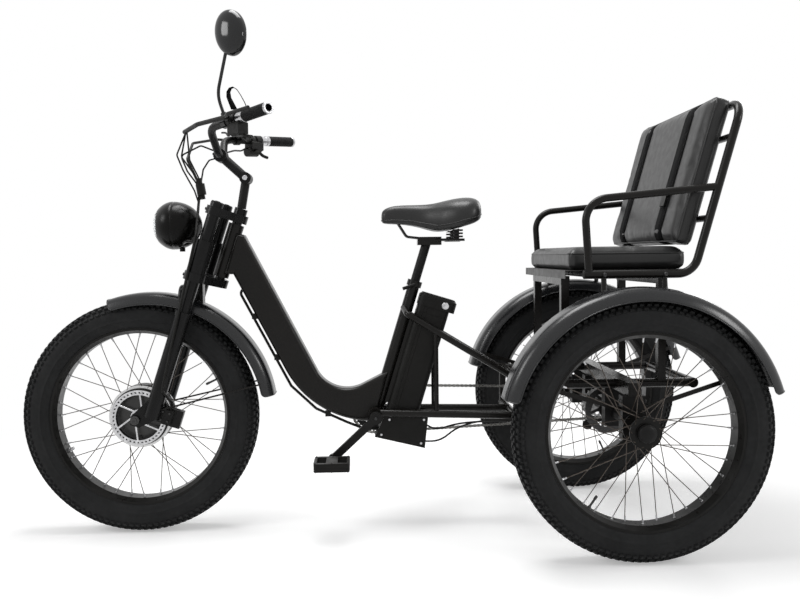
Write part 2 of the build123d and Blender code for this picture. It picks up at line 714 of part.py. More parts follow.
# Bench legs stand on the side rails; hangers hold the fenders from the bench rails
leg_size = 22.0
bench_leg_top = bench_rail_z - 18.0
legs = None
for x in (rail_front_x - 20.0, rail_bend_x - 36.0):
    portal_width = 2 * frame_rail_y + leg_size + 4
    portal = block((x, 0, bench_leg_top), (leg_size + 2, portal_width, leg_size + 2))
    for side in (-1, 1):
        leg_z = (frame_rail_z + bench_leg_top) / 2
        portal += block((x, side * frame_rail_y, leg_z), (leg_size, leg_size, bench_leg_top - frame_rail_z))
    portal -= rear_frame
    legs = portal if legs is None else legs + portal
legs -= bench_frame
legs -= tray
parts["bench_legs"] = legs

# Fender hangers reach from the bench rails to the rear fenders, with thin stays to the ends
hangers = []
stays = []
hanger_y = track / 2 - 28.0
for side, shell in ((-1, rear_fenders[0]), (1, rear_fenders[1])):
    for x in (rail_front_x + 50.0, rail_bend_x - 77.0):
        rise = math.sqrt((rear_fender_r - 4.0) ** 2 - (x - rear_axle[0]) ** 2)
        rail_end = (x, side * bench_rail_y, bench_rail_z)
        hanger = rod(rail_end, (x, side * hanger_y, rear_axle[2] + rise), 7.0) - bench_frame - shell
        hangers.append(hanger.solids().sort_by(Axis.Z)[-1])
    for deg in (24.0, 158.0):
        turn = math.radians(deg)
        reach = rear_fender_r - 30.0
        tip = (rear_axle[0] + reach * math.cos(turn), side * (track / 2 - 58.0), rear_axle[2] + reach * math.sin(turn))
        root_x = rear_axle[0] + (31.0 if deg < 90 else -31.0)
        bar = flat_bar((root_x, side * (housing_y + 6.0), 384.0), tip, 12.0, 4.0)
        stays.append((bar - shell - parts["axle_housings"]).solids().sort_by(SortBy.VOLUME)[-1])
parts["fender_stays"] = Compound(children=hangers + stays)

# Fork: crowns with the steerer, then the two legs
upper_crown_low = 86.0
upper_crown_high = 110.0
lower_crown_low = -110.0
lower_crown_high = -86.0
sleeve_top = 10.0
sleeve_radius = 28.0
stanchion_radius = 18.5
slider_radius = 23.0
slider_top = -212.0
slider_low = -520.0
leg_top = 122.0
leg_x = -fork_leg_ahead


def crown_plate(low, high, clamp_radius):
    # A clamp plate from the steerer to both legs, with round ends.
    height = high - low
    outline = [(18.0, -26.0), (18.0, 26.0), (leg_x + 20, fork_leg_y + 18), (leg_x - 16, fork_leg_y + 18)]
    outline += [(leg_x - 16, -fork_leg_y - 18), (leg_x + 20, -fork_leg_y - 18)]
    face = make_face(Polyline(*[(x, y, low) for x, y in outline], close=True))
    plate = extrude(face, amount=height, dir=(0, 0, 1))
    plate += rod((0, 0, low), (0, 0, high), 27.0)
    for side in (-1, 1):
        plate += rod((leg_x, side * fork_leg_y, low), (leg_x, side * fork_leg_y, high), clamp_radius)
    return plate


crowns = crown_plate(upper_crown_low, upper_crown_high, 25.0)
crowns += crown_plate(lower_crown_low, lower_crown_high, 31.0)
crowns += rod((0, 0, lower_crown_low), (0, 0, 128.0), steerer_radius)
crowns += rod((0, 0, upper_crown_high), (0, 0, 128.0), 19.0)
leg_cut = None
for side in (-1, 1):
    spot_y = side * fork_leg_y
    crowns += rod((leg_x, spot_y, lower_crown_high), (leg_x, spot_y, sleeve_top), sleeve_radius)
    bore = rod((leg_x, spot_y, -130), (leg_x, spot_y, 130), stanchion_radius)
    leg_cut = bore if leg_cut is None else leg_cut + bore
parts["fork_crowns"] = (crowns - leg_cut).moved(steer)
axle_local_x = -(steer_axis_x - front_axle[0]) * lean_cos + (steer_axis_z - front_axle[2]) * lean_sin
axle_local_z = -(steer_axis_x - front_axle[0]) * lean_sin - (steer_axis_z - front_axle[2]) * lean_cos
dropout_half = 7.0
legs_out = []
axle_hole = rod((axle_local_x, -120, axle_local_z), (axle_local_x, 120, axle_local_z), front_axle_radius)
for side in (-1, 1):
    spot_y = side * fork_leg_y
    leg = rod((leg_x, spot_y, slider_top), (leg_x, spot_y, leg_top), stanchion_radius)
    leg += rod((leg_x, spot_y, slider_low), (leg_x, spot_y, slider_top), slider_radius)
    leg += rod((leg_x, spot_y, slider_top - 4), (leg_x, spot_y, slider_top + 10), slider_radius + 3.0)
    foot = [(leg_x + 16, slider_low + 50), (leg_x - 20, slider_low + 50), (axle_local_x - 16, axle_local_z + 6)]
    foot += [(axle_local_x - 10, axle_local_z - 18), (axle_local_x + 16, axle_local_z - 18), (leg_x + 16, slider_low)]
    foot_face = make_face(Polyline(*[(x, spot_y - dropout_half, z) for x, z in foot], close=True))
    leg += extrude(foot_face, amount=2 * dropout_half, dir=(0, 1, 0))
    legs_out.append((leg - axle_hole).solid())
arch_path = [
    (leg_x - 4.0, -fork_leg_y, slider_top - 2.0),
    (leg_x - 31.0, -66.0, -140.0),
    (leg_x - 31.0, 66.0, -140.0),
    (leg_x - 4.0, fork_leg_y, slider_top - 2.0),
]
fork_legs = bent(arch_path, 8.0, 30.0).solid().fuse(*legs_out)
parts["fork_legs"] = fork_legs.moved(steer)

# Stem, handlebar, grips and brake levers
clamp_point = (-441.0, 0.0, 1097.0)
bar_radius_h = 11.1
bar_path = [
    (-262.0, -330.0, 1180.0),
    (-450.0, -118.0, 1160.0),
    (-441.0, -40.0, 1097.0),
    (-441.0, 40.0, 1097.0),
    (-450.0, 118.0, 1160.0),
    (-262.0, 330.0, 1180.0),
]
handlebar = bent(bar_path, bar_radius_h, 55.0)
bar_bore_depth = 60.0
bar_bore_radius = 8.5
bar_end = Vector(*bar_path[0])
bar_dir = (Vector(*bar_path[0]) - Vector(*bar_path[1])).normalized()
for sign in (-1, 1):
    end = Vector(bar_end.X, -sign * bar_end.Y, bar_end.Z)
    out = Vector(bar_dir.X, -sign * bar_dir.Y, bar_dir.Z)
    handlebar -= rod((end - out * bar_bore_depth), (end + out), bar_bore_radius)
parts["handlebar"] = handlebar
pivot = Vector(*on_steer(-13.0, 0, 216.0))
quill_low = on_steer(0, 0, 128.0)
stem = rod(quill_low, pivot, 13.0) - rod(on_steer(0, 0, 110.0), quill_low, 19.0)
stem += rod((pivot.X, -24, pivot.Z), (pivot.X, 24, pivot.Z), 17.0)
arm_dir = (Vector(*clamp_point) - pivot).normalized()
stem += rod(pivot, clamp_point, 14.0)
stem += rod((clamp_point[0], -23, clamp_point[2]), (clamp_point[0], 23, clamp_point[2]), 19.0)
parts["stem"] = stem - bent(bar_path, bar_radius_h, 55.0)
display_share = 0.17
grip_length = 118.0
grip_radius = 16.0
grips = []
levers = []
controls = []
for side in (-1, 1):
    end = Vector(bar_end.X, side * abs(bar_end.Y), bar_end.Z)
    out = Vector(bar_dir.X, side * abs(bar_dir.Y), bar_dir.Z)
    ahead = Vector(-abs(bar_dir.Y), side * bar_dir.X, 0).normalized()
    inner = end - out * grip_length
    grips.append(pipe(inner, end, grip_radius, bar_radius_h).solid())
    hold = end - out * 152.0
    lever = pipe((hold - out * 11), (hold + out * 11), 16.5, bar_radius_h)
    body_end = hold + ahead * 36 + out * 8
    lever += rod((hold + ahead * 14), body_end, 10.0) - rod((hold - out * 40), (hold + out * 40), bar_radius_h)
    blade = [body_end, (hold + ahead * 52 + out * 40), (hold + ahead * 46 + out * 128)]
    lever += bent(blade, 5.0, 20.0)
    levers.append(lever.solid())
    pod_at = end - out * 176.0
    pod = rod((pod_at + Vector(0, 0, -8)), (pod_at + Vector(0, 0, -38)), 11.0)
    pod += rod((pod_at + Vector(0, 0, -30)), (pod_at + Vector(0, 0, -30) - ahead * 34), 5.0)
    pod -= rod((pod_at - out * 30), (pod_at + out * 30), bar_radius_h)
    pod += pipe((pod_at - out * 7), (pod_at + out * 7), 15.0, bar_radius_h)
    if side > 0:
        drum_at = pod_at + Vector(0, 0, -35)
        pod += rod((drum_at - out * 20), (drum_at + out * 20), 15.0)
    controls.append(pod.solid())
display_hold = Vector(*bar_path[4]) + (Vector(*bar_path[5]) - Vector(*bar_path[4])) * display_share
right_dir = (Vector(*bar_path[5]) - Vector(*bar_path[4])).normalized()
display_center = (-402.0, 126.0, 1180.0)
display = Pos(*display_center) * Rot(0, 38.0, 0) * Box(58.0, 60.0, 14.0)
display = display.solid() + rod(display_hold, display_center, 6.0)
display += rod((display_hold - right_dir * 8), (display_hold + right_dir * 8), 15.0)
controls.append((display - bent(bar_path, bar_radius_h, 55.0)).solids().sort_by(SortBy.VOLUME)[-1])
parts["grips"] = Compound(children=grips)
parts["bar_controls"] = Compound(children=controls)
parts["brake_levers"] = Compound(children=levers)

# Mirror on its stalk, left bar only
foot_point = Vector(*bar_path[1]) + (Vector(*bar_path[0]) - Vector(*bar_path[1])) * 0.30
stalk_path = [
    (foot_point.X, foot_point.Y, foot_point.Z),
    (foot_point.X - 20.0, foot_point.Y - 18.0, 1236.0),
    (-380.0, -232.0, 1356.0),
]
stalk = bent(stalk_path, 4.5, 25.0)
stalk += rod((foot_point - bar_dir * 10), (foot_point + bar_dir * 10), 16.0)
stalk = stalk - bent(bar_path, bar_radius_h, 55.0)
mirror_center = Vector(-366.0, -230.0, 1391.0)
mirror_back = Vector(-0.5, -0.86, 0.0).normalized()
shell_plane = Plane(origin=mirror_center, z_dir=mirror_back, x_dir=Vector(mirror_back.Y, -mirror_back.X, 0))
mirror_tilt = Rot(0, 0, 12.0)
shell_sections = [(0.0, 47.0, 61.0), (10.0, 46.0, 60.0), (24.0, 36.0, 48.0), (31.0, 17.0, 25.0)]
shell_faces = []
for depth, half_w, half_h in shell_sections:
    shell_faces.append(shell_plane.offset(depth) * mirror_tilt * Ellipse(half_w, half_h))
shell = loft(shell_faces, ruled=True)
parts["mirror"] = shell + stalk
glass = extrude(shell_plane.offset(-2.0) * mirror_tilt * Ellipse(45.0, 59.0), amount=2.0)
parts["mirror_glass"] = glass

# Headlight bowl with its lens, and the bracket to the fork sleeves
light_z = 896.0
light_face_x = -624.0
light_profile = [(light_face_x, 0.0), (light_face_x, 50.0), (-617.0, 57.0), (-601.0, 66.0), (-583.0, 70.0)]
light_profile += [(-562.0, 68.0), (-540.0, 59.0), (-520.0, 45.0), (-506.0, 27.0), (-500.0, 10.0), (-500.0, 0.0)]
light_face = make_face(Polyline(*[(x, 0, r) for x, r in light_profile], close=True))
light = revolve(light_face, axis=Axis((0, 0, 0), (1, 0, 0))).moved(Location((0, 0, light_z)))
lens_profile = [(light_face_x, 0.0), (light_face_x, 49.0), (-632.0, 38.0), (-638.0, 20.0), (-640.0, 0.0)]
lens_face = make_face(Polyline(*[(x, 0, r) for x, r in lens_profile], close=True))
parts["headlight_lens"] = revolve(lens_face, axis=Axis((0, 0, 0), (1, 0, 0))).moved(Location((0, 0, light_z)))
light_arms = None
for side in (-1, 1):
    root = on_steer(leg_x - 24.0, side * 66.0, -2.0)
    arm = bent([root, (-536.0, side * 52.0, 852.0), (-559.0, side * 20.0, 840.0)], 5.0, 12.0)
    light_arms = arm if light_arms is None else light_arms + arm
light_arms += rod((-559.0, -26.0, 840.0), (-559.0, 26.0, 840.0), 6.0)
light_arms += rod((-559.0, 0, 820.0), (-559.0, 0, 850.0), 8.0)
sleeve_cut = None
for side in (-1, 1):
    sleeve = rod((leg_x, side * fork_leg_y, -100), (leg_x, side * fork_leg_y, sleeve_top), sleeve_radius)
    sleeve_cut = sleeve if sleeve_cut is None else sleeve_cut + sleeve
parts["headlight"] = light + (light_arms - sleeve_cut.moved(steer))

# Front fender bracket, its stays and the front brake caliper
tab_top = Vector(*on_steer(leg_x + 12.0, 0, lower_crown_low))
tab = Pos(tab_top.X, 0, tab_top.Z - 40.0) * Box(5.0, 34.0, 80.0)
front_tab = (tab - parts["front_fender"] - parts["fork_crowns"]).solids().sort_by(Axis.Z)[-1]
front_stays = []
for side in (-1, 1):
    turn = math.radians(16.0)
    reach = front_fender_r - 30.0
    tip = (front_fender_center[0] + reach * math.cos(turn), side * (front_fender_half + 2.5))
    tip_z = front_fender_center[1] + reach * math.sin(turn)
    root = on_steer(leg_x + 10.0, side * (fork_leg_y + 0.0), slider_low + 24.0)
    front_stays.append(rod(root, (tip[0], tip[1], tip_z), 2.5))
front_stay_solids = []
for stay in front_stays:
    front_stay_solids.append((stay - parts["front_fender"] - parts["fork_legs"]).solids().sort_by(Axis.X)[-1])
parts["front_fender_stays"] = Compound(children=[front_tab] + front_stay_solids)
caliper = block((-8.0, front_rotor_y, slider_low + 12.0), (44.0, 22.0, 52.0))
caliper -= block((-14.0, front_rotor_y, slider_low + 12.0), (64.0, 12.0, 60.0))
caliper += block((18.0, front_rotor_y, slider_low + 12.0), (12.0, 22.0, 52.0))
caliper += block((-22.0, front_rotor_y - 16.0, slider_low + 12.0), (40.0, 12.0, 40.0))
leg_solid = rod((leg_x, -fork_leg_y, slider_low), (leg_x, -fork_leg_y, slider_top), slider_radius)
parts["front_caliper"] = (caliper - leg_solid).moved(steer)

# Cables: a wrapped bundle ahead of the bar with the front brake hose, and the lead below the main tube
cable_radius = 4.0
strand_radius = 2.4
sleeve_run = [(-384.0, -246.0, 1170.0), (-478.0, -150.0, 1166.0), (-532.0, -62.0, 1158.0)]
right_run = [(-384.0, 246.0, 1170.0), (-478.0, 150.0, 1166.0), (-530.0, 40.0, 1140.0)]
right_run += [(-536.0, -16.0, 1086.0), (-499.0, -27.0, 1008.0), (-499.0, -27.0, 975.0)]
hose_run = [(-499.0, -30.0, 1000.0), (-502.0, -34.0, 962.0), on_steer(leg_x - 26.0, -106.0, 20.0)]
hose_run += [on_steer(leg_x - 4.0, -112.0, -240.0), on_steer(leg_x + 12.0, -113.0, -430.0)]
hose_run += [on_steer(-14.0, -66.0, -466.0), on_steer(-14.0, -66.0, -498.0)]
outer_strand = [(-526.0, -66.0, 1160.0), (-556.0, -60.0, 1094.0), (-541.0, -52.0, 1052.0)]
outer_strand += [(-512.0, -41.0, 994.0), (-503.0, -35.0, 962.0)]
inner_strand = [(-524.0, -68.0, 1160.0), (-521.0, -54.0, 1080.0), (-501.0, -34.0, 1032.0), (-499.0, -31.0, 1000.0)]
middle_strand = [(-528.0, -62.0, 1160.0), (-545.0, -50.0, 1090.0), (-505.0, -38.0, 1030.0), (-500.0, -32.0, 1000.0)]
long_loop = [(-441.0, -12.0, 1104.0), (-493.0, -30.0, 1124.0), (-549.0, -40.0, 1094.0)]
long_loop += [(-532.0, -36.0, 1050.0), (-500.0, -29.0, 1004.0)]
short_loop = [(-441.0, 8.0, 1096.0), (-474.0, -10.0, 1084.0), (-489.0, -24.0, 1056.0), (-498.0, -29.0, 1002.0)]
bar_cables = bent(sleeve_run, cable_radius + 2.5, 40.0, 8).solid()
for run in (right_run, hose_run):
    bar_cables += bent(run, cable_radius, 14.0, 8)
for run in (outer_strand, inner_strand, middle_strand, long_loop, short_loop):
    bar_cables += bent(run, strand_radius, 12.0, 6)
boot_low = (-491.0, -30.0, 970.0)
boot_high = (-501.0, -31.0, 1030.0)
bar_cables += rod(boot_low, boot_high, 8.0)
bar_cables += rod((-493.0, -30.0, 982.0), (-498.0, -31.0, 1014.0), 13.0)
for held in ("brake_levers", "stem", "handlebar", "fork_crowns", "fork_legs", "front_caliper"):
    bar_cables -= parts[held]
parts["bar_cables"] = bar_cables.solids().sort_by(SortBy.VOLUME)[-1]
lead_y = -8.0
lead_run = [(-372.0, 712.0), (-396.0, 703.0), (-248.5, 420.0), (-176.0, 351.0)]
lead_run += [(-86.0, 309.0), (-30.0, 286.0), (22.0, 290.0)]
lead = bent([(x, lead_y, z) for x, z in lead_run], cable_radius, 14.0, 8)
for clip_x, clip_z in ((-351.0, 628.0), (-288.0, 506.0), (-141.0, 336.0)):
    lead += block((clip_x, lead_y, clip_z), (16.0, 18.0, 16.0))
parts["frame_lead"] = lead - parts["main_tube"] - parts["controller"]

# Rear brake caliper under the beam, and the derailleur behind the sprocket
rear_caliper = block((rear_axle[0] + 62.0, rear_rotor_y, 398.0), (46.0, 30.0, 44.0))
rear_caliper -= block((rear_axle[0] + 52.0, rear_rotor_y, 390.0), (60.0, 12.0, 50.0))
rear_caliper += block((rear_axle[0] + 30.0, rear_rotor_y - 16.0, 408.0), (70.0, 8.0, 26.0))
parts["rear_caliper"] = rear_caliper - block((rear_axle[0], 0, frame_rail_z), (36, 600, 36))
hanger = block((rear_axle[0] + 34.0, chain_y + 21.0, 400.0), (18.0, 6.0, 80.0))
hanger += block((rear_axle[0] + 22.0, chain_y + 21.0, frame_rail_z), (40.0, 6.0, 22.0))
mech = hanger - block((rear_axle[0], 0, frame_rail_z), (36, 600, 36))
mech += block((rear_axle[0] + 34.0, chain_y + 21.0, 330.0), (22.0, 6.0, 90.0))
jockey_x = rear_axle[0] - 30.0
jockey_z = 271.5
mech += block((rear_axle[0] + 6.0, chain_y + 21.0, 285.0), (74.0, 6.0, 18.0))
mech += rod((jockey_x, chain_y + 18.0, jockey_z), (jockey_x, chain_y + 24.0, jockey_z), 9.0)
mech += rod((jockey_x, chain_y - 4.0, jockey_z), (jockey_x, chain_y + 20.0, jockey_z), 4.0)
mech += rod((jockey_x, chain_y - 1.2, jockey_z), (jockey_x, chain_y + 1.2, jockey_z), 15.5)
parts["derailleur"] = mech - parts["chain"]

os.makedirs("parts", exist_ok=True)
for name, shape in parts.items():
    solids = shape.solids()
    whole = solids[0] if len(solids) == 1 else Compound(children=list(solids))
    export_step(whole, "parts/" + name + ".step")
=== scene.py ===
import math
import bmesh
import bpy
from mathutils import Matrix, Vector
from mathutils.bvhtree import BVHTree


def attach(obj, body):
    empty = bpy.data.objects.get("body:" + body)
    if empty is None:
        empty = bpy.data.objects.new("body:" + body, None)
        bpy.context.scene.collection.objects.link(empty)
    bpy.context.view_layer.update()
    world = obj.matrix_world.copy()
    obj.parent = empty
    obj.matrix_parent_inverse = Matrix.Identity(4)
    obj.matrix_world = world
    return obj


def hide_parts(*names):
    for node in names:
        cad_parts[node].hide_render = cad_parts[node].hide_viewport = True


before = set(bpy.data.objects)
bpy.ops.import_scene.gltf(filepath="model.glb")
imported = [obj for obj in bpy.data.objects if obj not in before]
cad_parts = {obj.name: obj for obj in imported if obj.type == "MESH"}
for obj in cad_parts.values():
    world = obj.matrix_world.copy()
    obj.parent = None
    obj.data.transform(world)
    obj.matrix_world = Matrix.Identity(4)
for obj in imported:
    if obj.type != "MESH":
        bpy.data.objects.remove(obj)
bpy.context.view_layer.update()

stage_scene = bpy.context.scene

# Photo studio: a pale paper floor, a white surround and soft boxes above and beside the tricycle.
# The camera stands at the left side, at chest height, where the photograph was taken.
camera_at = Vector((-0.0161, -2.5148, 0.8002))
camera_yaw, camera_pitch, camera_roll = 0.0369, 0.052, -0.0119
ahead = Vector((
    math.sin(camera_yaw) * math.cos(camera_pitch),
    math.cos(camera_yaw) * math.cos(camera_pitch),
    -math.sin(camera_pitch),
))
level = Vector((math.cos(camera_yaw), -math.sin(camera_yaw), 0.0))
upright = level.cross(ahead)
across = level * math.cos(camera_roll) + upright * math.sin(camera_roll)
upward = upright * math.cos(camera_roll) - level * math.sin(camera_roll)
camera = bpy.data.objects.new("photo_camera", bpy.data.cameras.new("photo_camera"))
camera.data.sensor_width = 36.0
camera.data.sensor_fit = "HORIZONTAL"
camera.data.lens = 38.21
camera.matrix_world = Matrix((
    (across.x, upward.x, -ahead.x, camera_at.x),
    (across.y, upward.y, -ahead.y, camera_at.y),
    (across.z, upward.z, -ahead.z, camera_at.z),
    (0.0, 0.0, 0.0, 1.0),
))
stage_scene.collection.objects.link(camera)
stage_scene.camera = camera
stage_scene.view_settings.view_transform = "Standard"


def seen_directly(tree):
    # One where a camera, glossy or transmission ray looks, and nought elsewhere.
    rays = tree.nodes.new("ShaderNodeLightPath")
    found = rays.outputs["Is Camera Ray"]
    for label in ("Is Glossy Ray", "Is Transmission Ray"):
        larger = tree.nodes.new("ShaderNodeMath")
        larger.operation = "MAXIMUM"
        tree.links.new(found, larger.inputs[0])
        tree.links.new(rays.outputs[label], larger.inputs[1])
        found = larger.outputs[0]
    return found


surround = bpy.data.worlds.new("white_surround")
surround.use_nodes = True
stage_scene.world = surround
sky = surround.node_tree
sky.nodes.clear()
soft_fill = sky.nodes.new("ShaderNodeBackground")
soft_fill.inputs["Strength"].default_value = 0.34
white_card = sky.nodes.new("ShaderNodeBackground")
white_card.inputs["Strength"].default_value = 1.0
for light in (soft_fill, white_card):
    light.inputs["Color"].default_value = (1.0, 1.0, 1.0, 1.0)
choose = sky.nodes.new("ShaderNodeMixShader")
sky.links.new(seen_directly(sky), choose.inputs["Fac"])
sky.links.new(soft_fill.outputs[0], choose.inputs[1])
sky.links.new(white_card.outputs[0], choose.inputs[2])
sky.links.new(choose.outputs[0], sky.nodes.new("ShaderNodeOutputWorld").inputs["Surface"])

reach = 30.0
floor_z = -0.0006
floor_mesh = bpy.data.meshes.new("studio_floor")
floor_corners = [(-reach, -reach), (reach, -reach), (reach, reach), (-reach, reach)]
floor_mesh.from_pydata([(x, y, floor_z) for x, y in floor_corners], [], [(0, 1, 2, 3)])
floor = bpy.data.objects.new("studio_floor", floor_mesh)
stage_scene.collection.objects.link(floor)
floor_finish = bpy.data.materials.new("studio_paper")
floor_finish.use_nodes = True
paper = floor_finish.node_tree
paper.nodes.clear()
paper_seen = seen_directly(paper)
paper_matt = paper.nodes.new("ShaderNodeBsdfDiffuse")
paper_matt.inputs["Color"].default_value = (0.82, 0.82, 0.82, 1.0)
paper_glow = paper.nodes.new("ShaderNodeEmission")
glow_level = paper.nodes.new("ShaderNodeMath")
glow_level.operation = "MULTIPLY"
glow_level.inputs[1].default_value = 0.36
paper.links.new(paper_seen, glow_level.inputs[0])
paper.links.new(glow_level.outputs[0], paper_glow.inputs["Strength"])
paper_near = paper.nodes.new("ShaderNodeAddShader")
paper.links.new(paper_matt.outputs[0], paper_near.inputs[0])
paper.links.new(paper_glow.outputs[0], paper_near.inputs[1])
paper_far = paper.nodes.new("ShaderNodeEmission")
paper_place = paper.nodes.new("ShaderNodeTexCoord")
paper_away = paper.nodes.new("ShaderNodeVectorMath")
paper_away.operation = "LENGTH"
paper.links.new(paper_place.outputs["Object"], paper_away.inputs[0])
paper_fade = paper.nodes.new("ShaderNodeMapRange")
paper_fade.inputs["From Min"].default_value = 1.35
paper_fade.inputs["From Max"].default_value = 2.3
paper.links.new(paper_away.outputs["Value"], paper_fade.inputs["Value"])
paper_share = paper.nodes.new("ShaderNodeMath")
paper_share.operation = "MULTIPLY"
paper.links.new(paper_fade.outputs["Result"], paper_share.inputs[0])
paper.links.new(paper_seen, paper_share.inputs[1])
paper_mix = paper.nodes.new("ShaderNodeMixShader")
paper.links.new(paper_share.outputs[0], paper_mix.inputs["Fac"])
paper.links.new(paper_near.outputs[0], paper_mix.inputs[1])
paper.links.new(paper_far.outputs[0], paper_mix.inputs[2])
paper.links.new(paper_mix.outputs[0], paper.nodes.new("ShaderNodeOutputMaterial").inputs["Surface"])
floor_mesh.materials.append(floor_finish)

soft_boxes = [
    ("overhead_box", (-0.1, 0.1, 3.2), (0.1, 0.0, 0.5), 1.5, 62.0),
    ("front_box", (-3.0, -1.3, 2.3), (-0.2, 0.0, 0.6), 1.1, 32.0),
    ("right_back_box", (2.6, 2.4, 2.2), (0.3, 0.0, 0.6), 1.2, 24.0),
    ("rear_left_box", (3.0, -1.7, 1.9), (0.6, 0.0, 0.6), 0.7, 18.0),
]
for box_name, spot, target, width, power in soft_boxes:
    lamp = bpy.data.lights.new(box_name, "AREA")
    lamp.shape = "SQUARE"
    lamp.size = width
    lamp.energy = power
    holder = bpy.data.objects.new(box_name, lamp)
    aim = (Vector(target) - Vector(spot)).to_track_quat("-Z", "Y")
    holder.matrix_world = Matrix.Translation(spot) @ aim.to_matrix().to_4x4()
    stage_scene.collection.objects.link(holder)

# Welded frame: the deep step-through beam, head tube, seat tube, stays and rear ladder frame.
# Steel tube, welded, then powder-coated satin black with a faint orange-peel skin.


def start_finish(name):
    # A new node material, with its tree, its shader and its object coordinates.
    material = bpy.data.materials.new(name)
    material.use_nodes = True
    tree = material.node_tree
    place = tree.nodes.new("ShaderNodeTexCoord")
    return material, tree, tree.nodes["Principled BSDF"], place.outputs["Object"]


def cloudy(tree, place, scale, detail=4.0):
    # Soft noise at a given scale.
    noise = tree.nodes.new("ShaderNodeTexNoise")
    noise.inputs["Scale"].default_value = scale
    noise.inputs["Detail"].default_value = detail
    tree.links.new(place, noise.inputs["Vector"])
    return noise.outputs["Fac"]


def between(tree, source, low, high, target):
    # Spreads the middle of a noise over a range, onto a socket.
    spread = tree.nodes.new("ShaderNodeMapRange")
    spread.inputs["From Min"].default_value = 0.3
    spread.inputs["From Max"].default_value = 0.7
    spread.inputs["To Min"].default_value = low
    spread.inputs["To Max"].default_value = high
    tree.links.new(source, spread.inputs["Value"])
    tree.links.new(spread.outputs["Result"], target)


def two_tone(tree, source, dark, pale, target):
    # Two close colours mixed by a noise.
    ramp = tree.nodes.new("ShaderNodeValToRGB")
    ramp.color_ramp.elements[0].position = 0.32
    ramp.color_ramp.elements[0].color = (*dark, 1.0)
    ramp.color_ramp.elements[1].position = 0.7
    ramp.color_ramp.elements[1].color = (*pale, 1.0)
    tree.links.new(source, ramp.inputs["Fac"])
    tree.links.new(ramp.outputs["Color"], target)


def raised(tree, source, strength, depth, shader):
    # Relief from a height, in metres.
    relief = tree.nodes.new("ShaderNodeBump")
    relief.inputs["Strength"].default_value = strength
    relief.inputs["Distance"].default_value = depth
    tree.links.new(source, relief.inputs["Height"])
    tree.links.new(relief.outputs["Normal"], shader.inputs["Normal"])


def gloss(shader, face_on):
    # Full reflection at a glancing angle, and only a share of it face on.
    shader.inputs["Specular IOR Level"].default_value = 0.5
    shader.inputs["Specular Tint"].default_value = (face_on, face_on, face_on, 1.0)


def mottled(name, tone, rough, detail=4.0, grain=None, face_on=None, metal=0.0, clear=0.0, coat=None):
    # A finish whose colour and roughness drift a little over the surface.
    # Tone and rough start with a noise scale; grain is a scale, a detail, a strength and a depth.
    material, tree, shader, place = start_finish(name)
    tone_scale, dark, pale = tone
    two_tone(tree, cloudy(tree, place, tone_scale, detail), dark, pale, shader.inputs["Base Color"])
    rough_scale, low, high = rough
    between(tree, cloudy(tree, place, rough_scale), low, high, shader.inputs["Roughness"])
    if grain:
        grain_scale, grain_detail, strength, depth = grain
        raised(tree, cloudy(tree, place, grain_scale, grain_detail), strength, depth, shader)
    if face_on is not None:
        gloss(shader, face_on)
    if coat:
        shader.inputs["Coat Weight"].default_value, shader.inputs["Coat Roughness"].default_value = coat
    shader.inputs["Metallic"].default_value = metal
    shader.inputs["Transmission Weight"].default_value = clear
    return material


def coat_nodes(finish, *names):
    # Gives carried-over solids their finish.
    for name in names:
        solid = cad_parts[name]
        if not solid.material_slots:
            solid.data.materials.append(finish)
        for holder in solid.material_slots:
            holder.material = finish


powder_coat = mottled(
    "satin_powder_coat",
    tone=(6.0, (0.0056, 0.0050, 0.0044), (0.0092, 0.0082, 0.0072)),
    rough=(40.0, 0.22, 0.31),
    grain=(900.0, 2.0, 0.10, 0.0004),
    face_on=0.33,
)
coat_nodes(powder_coat, "main_tube", "head_tube", "seat_tube", "rear_stays", "rear_frame")
coat_nodes(powder_coat, "fender_stays", "front_fender_stays")

# Bearing blocks under the rear beam, with the other cast parts: calipers, cranks, stem and gear arm.
# Die-cast alloy, bead-blasted and black anodised; socket screws hold the blocks to the beam.
cast_black = mottled(
    "blasted_black_casting",
    tone=(18.0, (0.0064, 0.0062, 0.0060), (0.0125, 0.0122, 0.0120)),
    rough=(120.0, 0.36, 0.52),
    grain=(1600.0, 2.0, 0.2, 0.0003),
    face_on=0.28,
)
coat_nodes(cast_black, "axle_housings", "front_caliper", "rear_caliper", "derailleur", "crankset")
coat_nodes(cast_black, "stem", "handlebar", "brake_levers", "seat_post", "rear_axle")
screw_steel = mottled(
    "blackened_screw_steel",
    tone=(300.0, (0.035, 0.035, 0.036), (0.075, 0.074, 0.073)),
    rough=(500.0, 0.28, 0.42),
    metal=0.9,
)


def facing(spot, direction):
    # A place with its own Z along a direction; millimetres in.
    turn = Vector(direction).to_track_quat("Z", "Y")
    return Matrix.Translation(Vector(spot) / 1000) @ turn.to_matrix().to_4x4()


def lathe(profile, steps, place, loop=False):
    # Points and faces of a (radius, along) profile turned about the Z of a place; millimetres in.
    verts = []
    faces = []
    rings = []
    for r, along in profile:
        if r == 0:
            rings.append([len(verts)] * steps)
            verts.append(place @ Vector((0.0, 0.0, along / 1000)))
            continue
        rings.append([len(verts) + i for i in range(steps)])
        for i in range(steps):
            turn = 2 * math.pi * i / steps
            x, y = r * math.cos(turn) / 1000, r * math.sin(turn) / 1000
            verts.append(place @ Vector((x, y, along / 1000)))
    pairs = list(zip(rings, rings[1:]))
    if loop:
        pairs.append((rings[-1], rings[0]))
    for low, high in pairs:
        for i in range(steps):
            j = (i + 1) % steps
            ring = list(dict.fromkeys((low[i], low[j], high[j], high[i])))
            if len(ring) > 2:
                faces.append(tuple(ring))
    return verts, faces


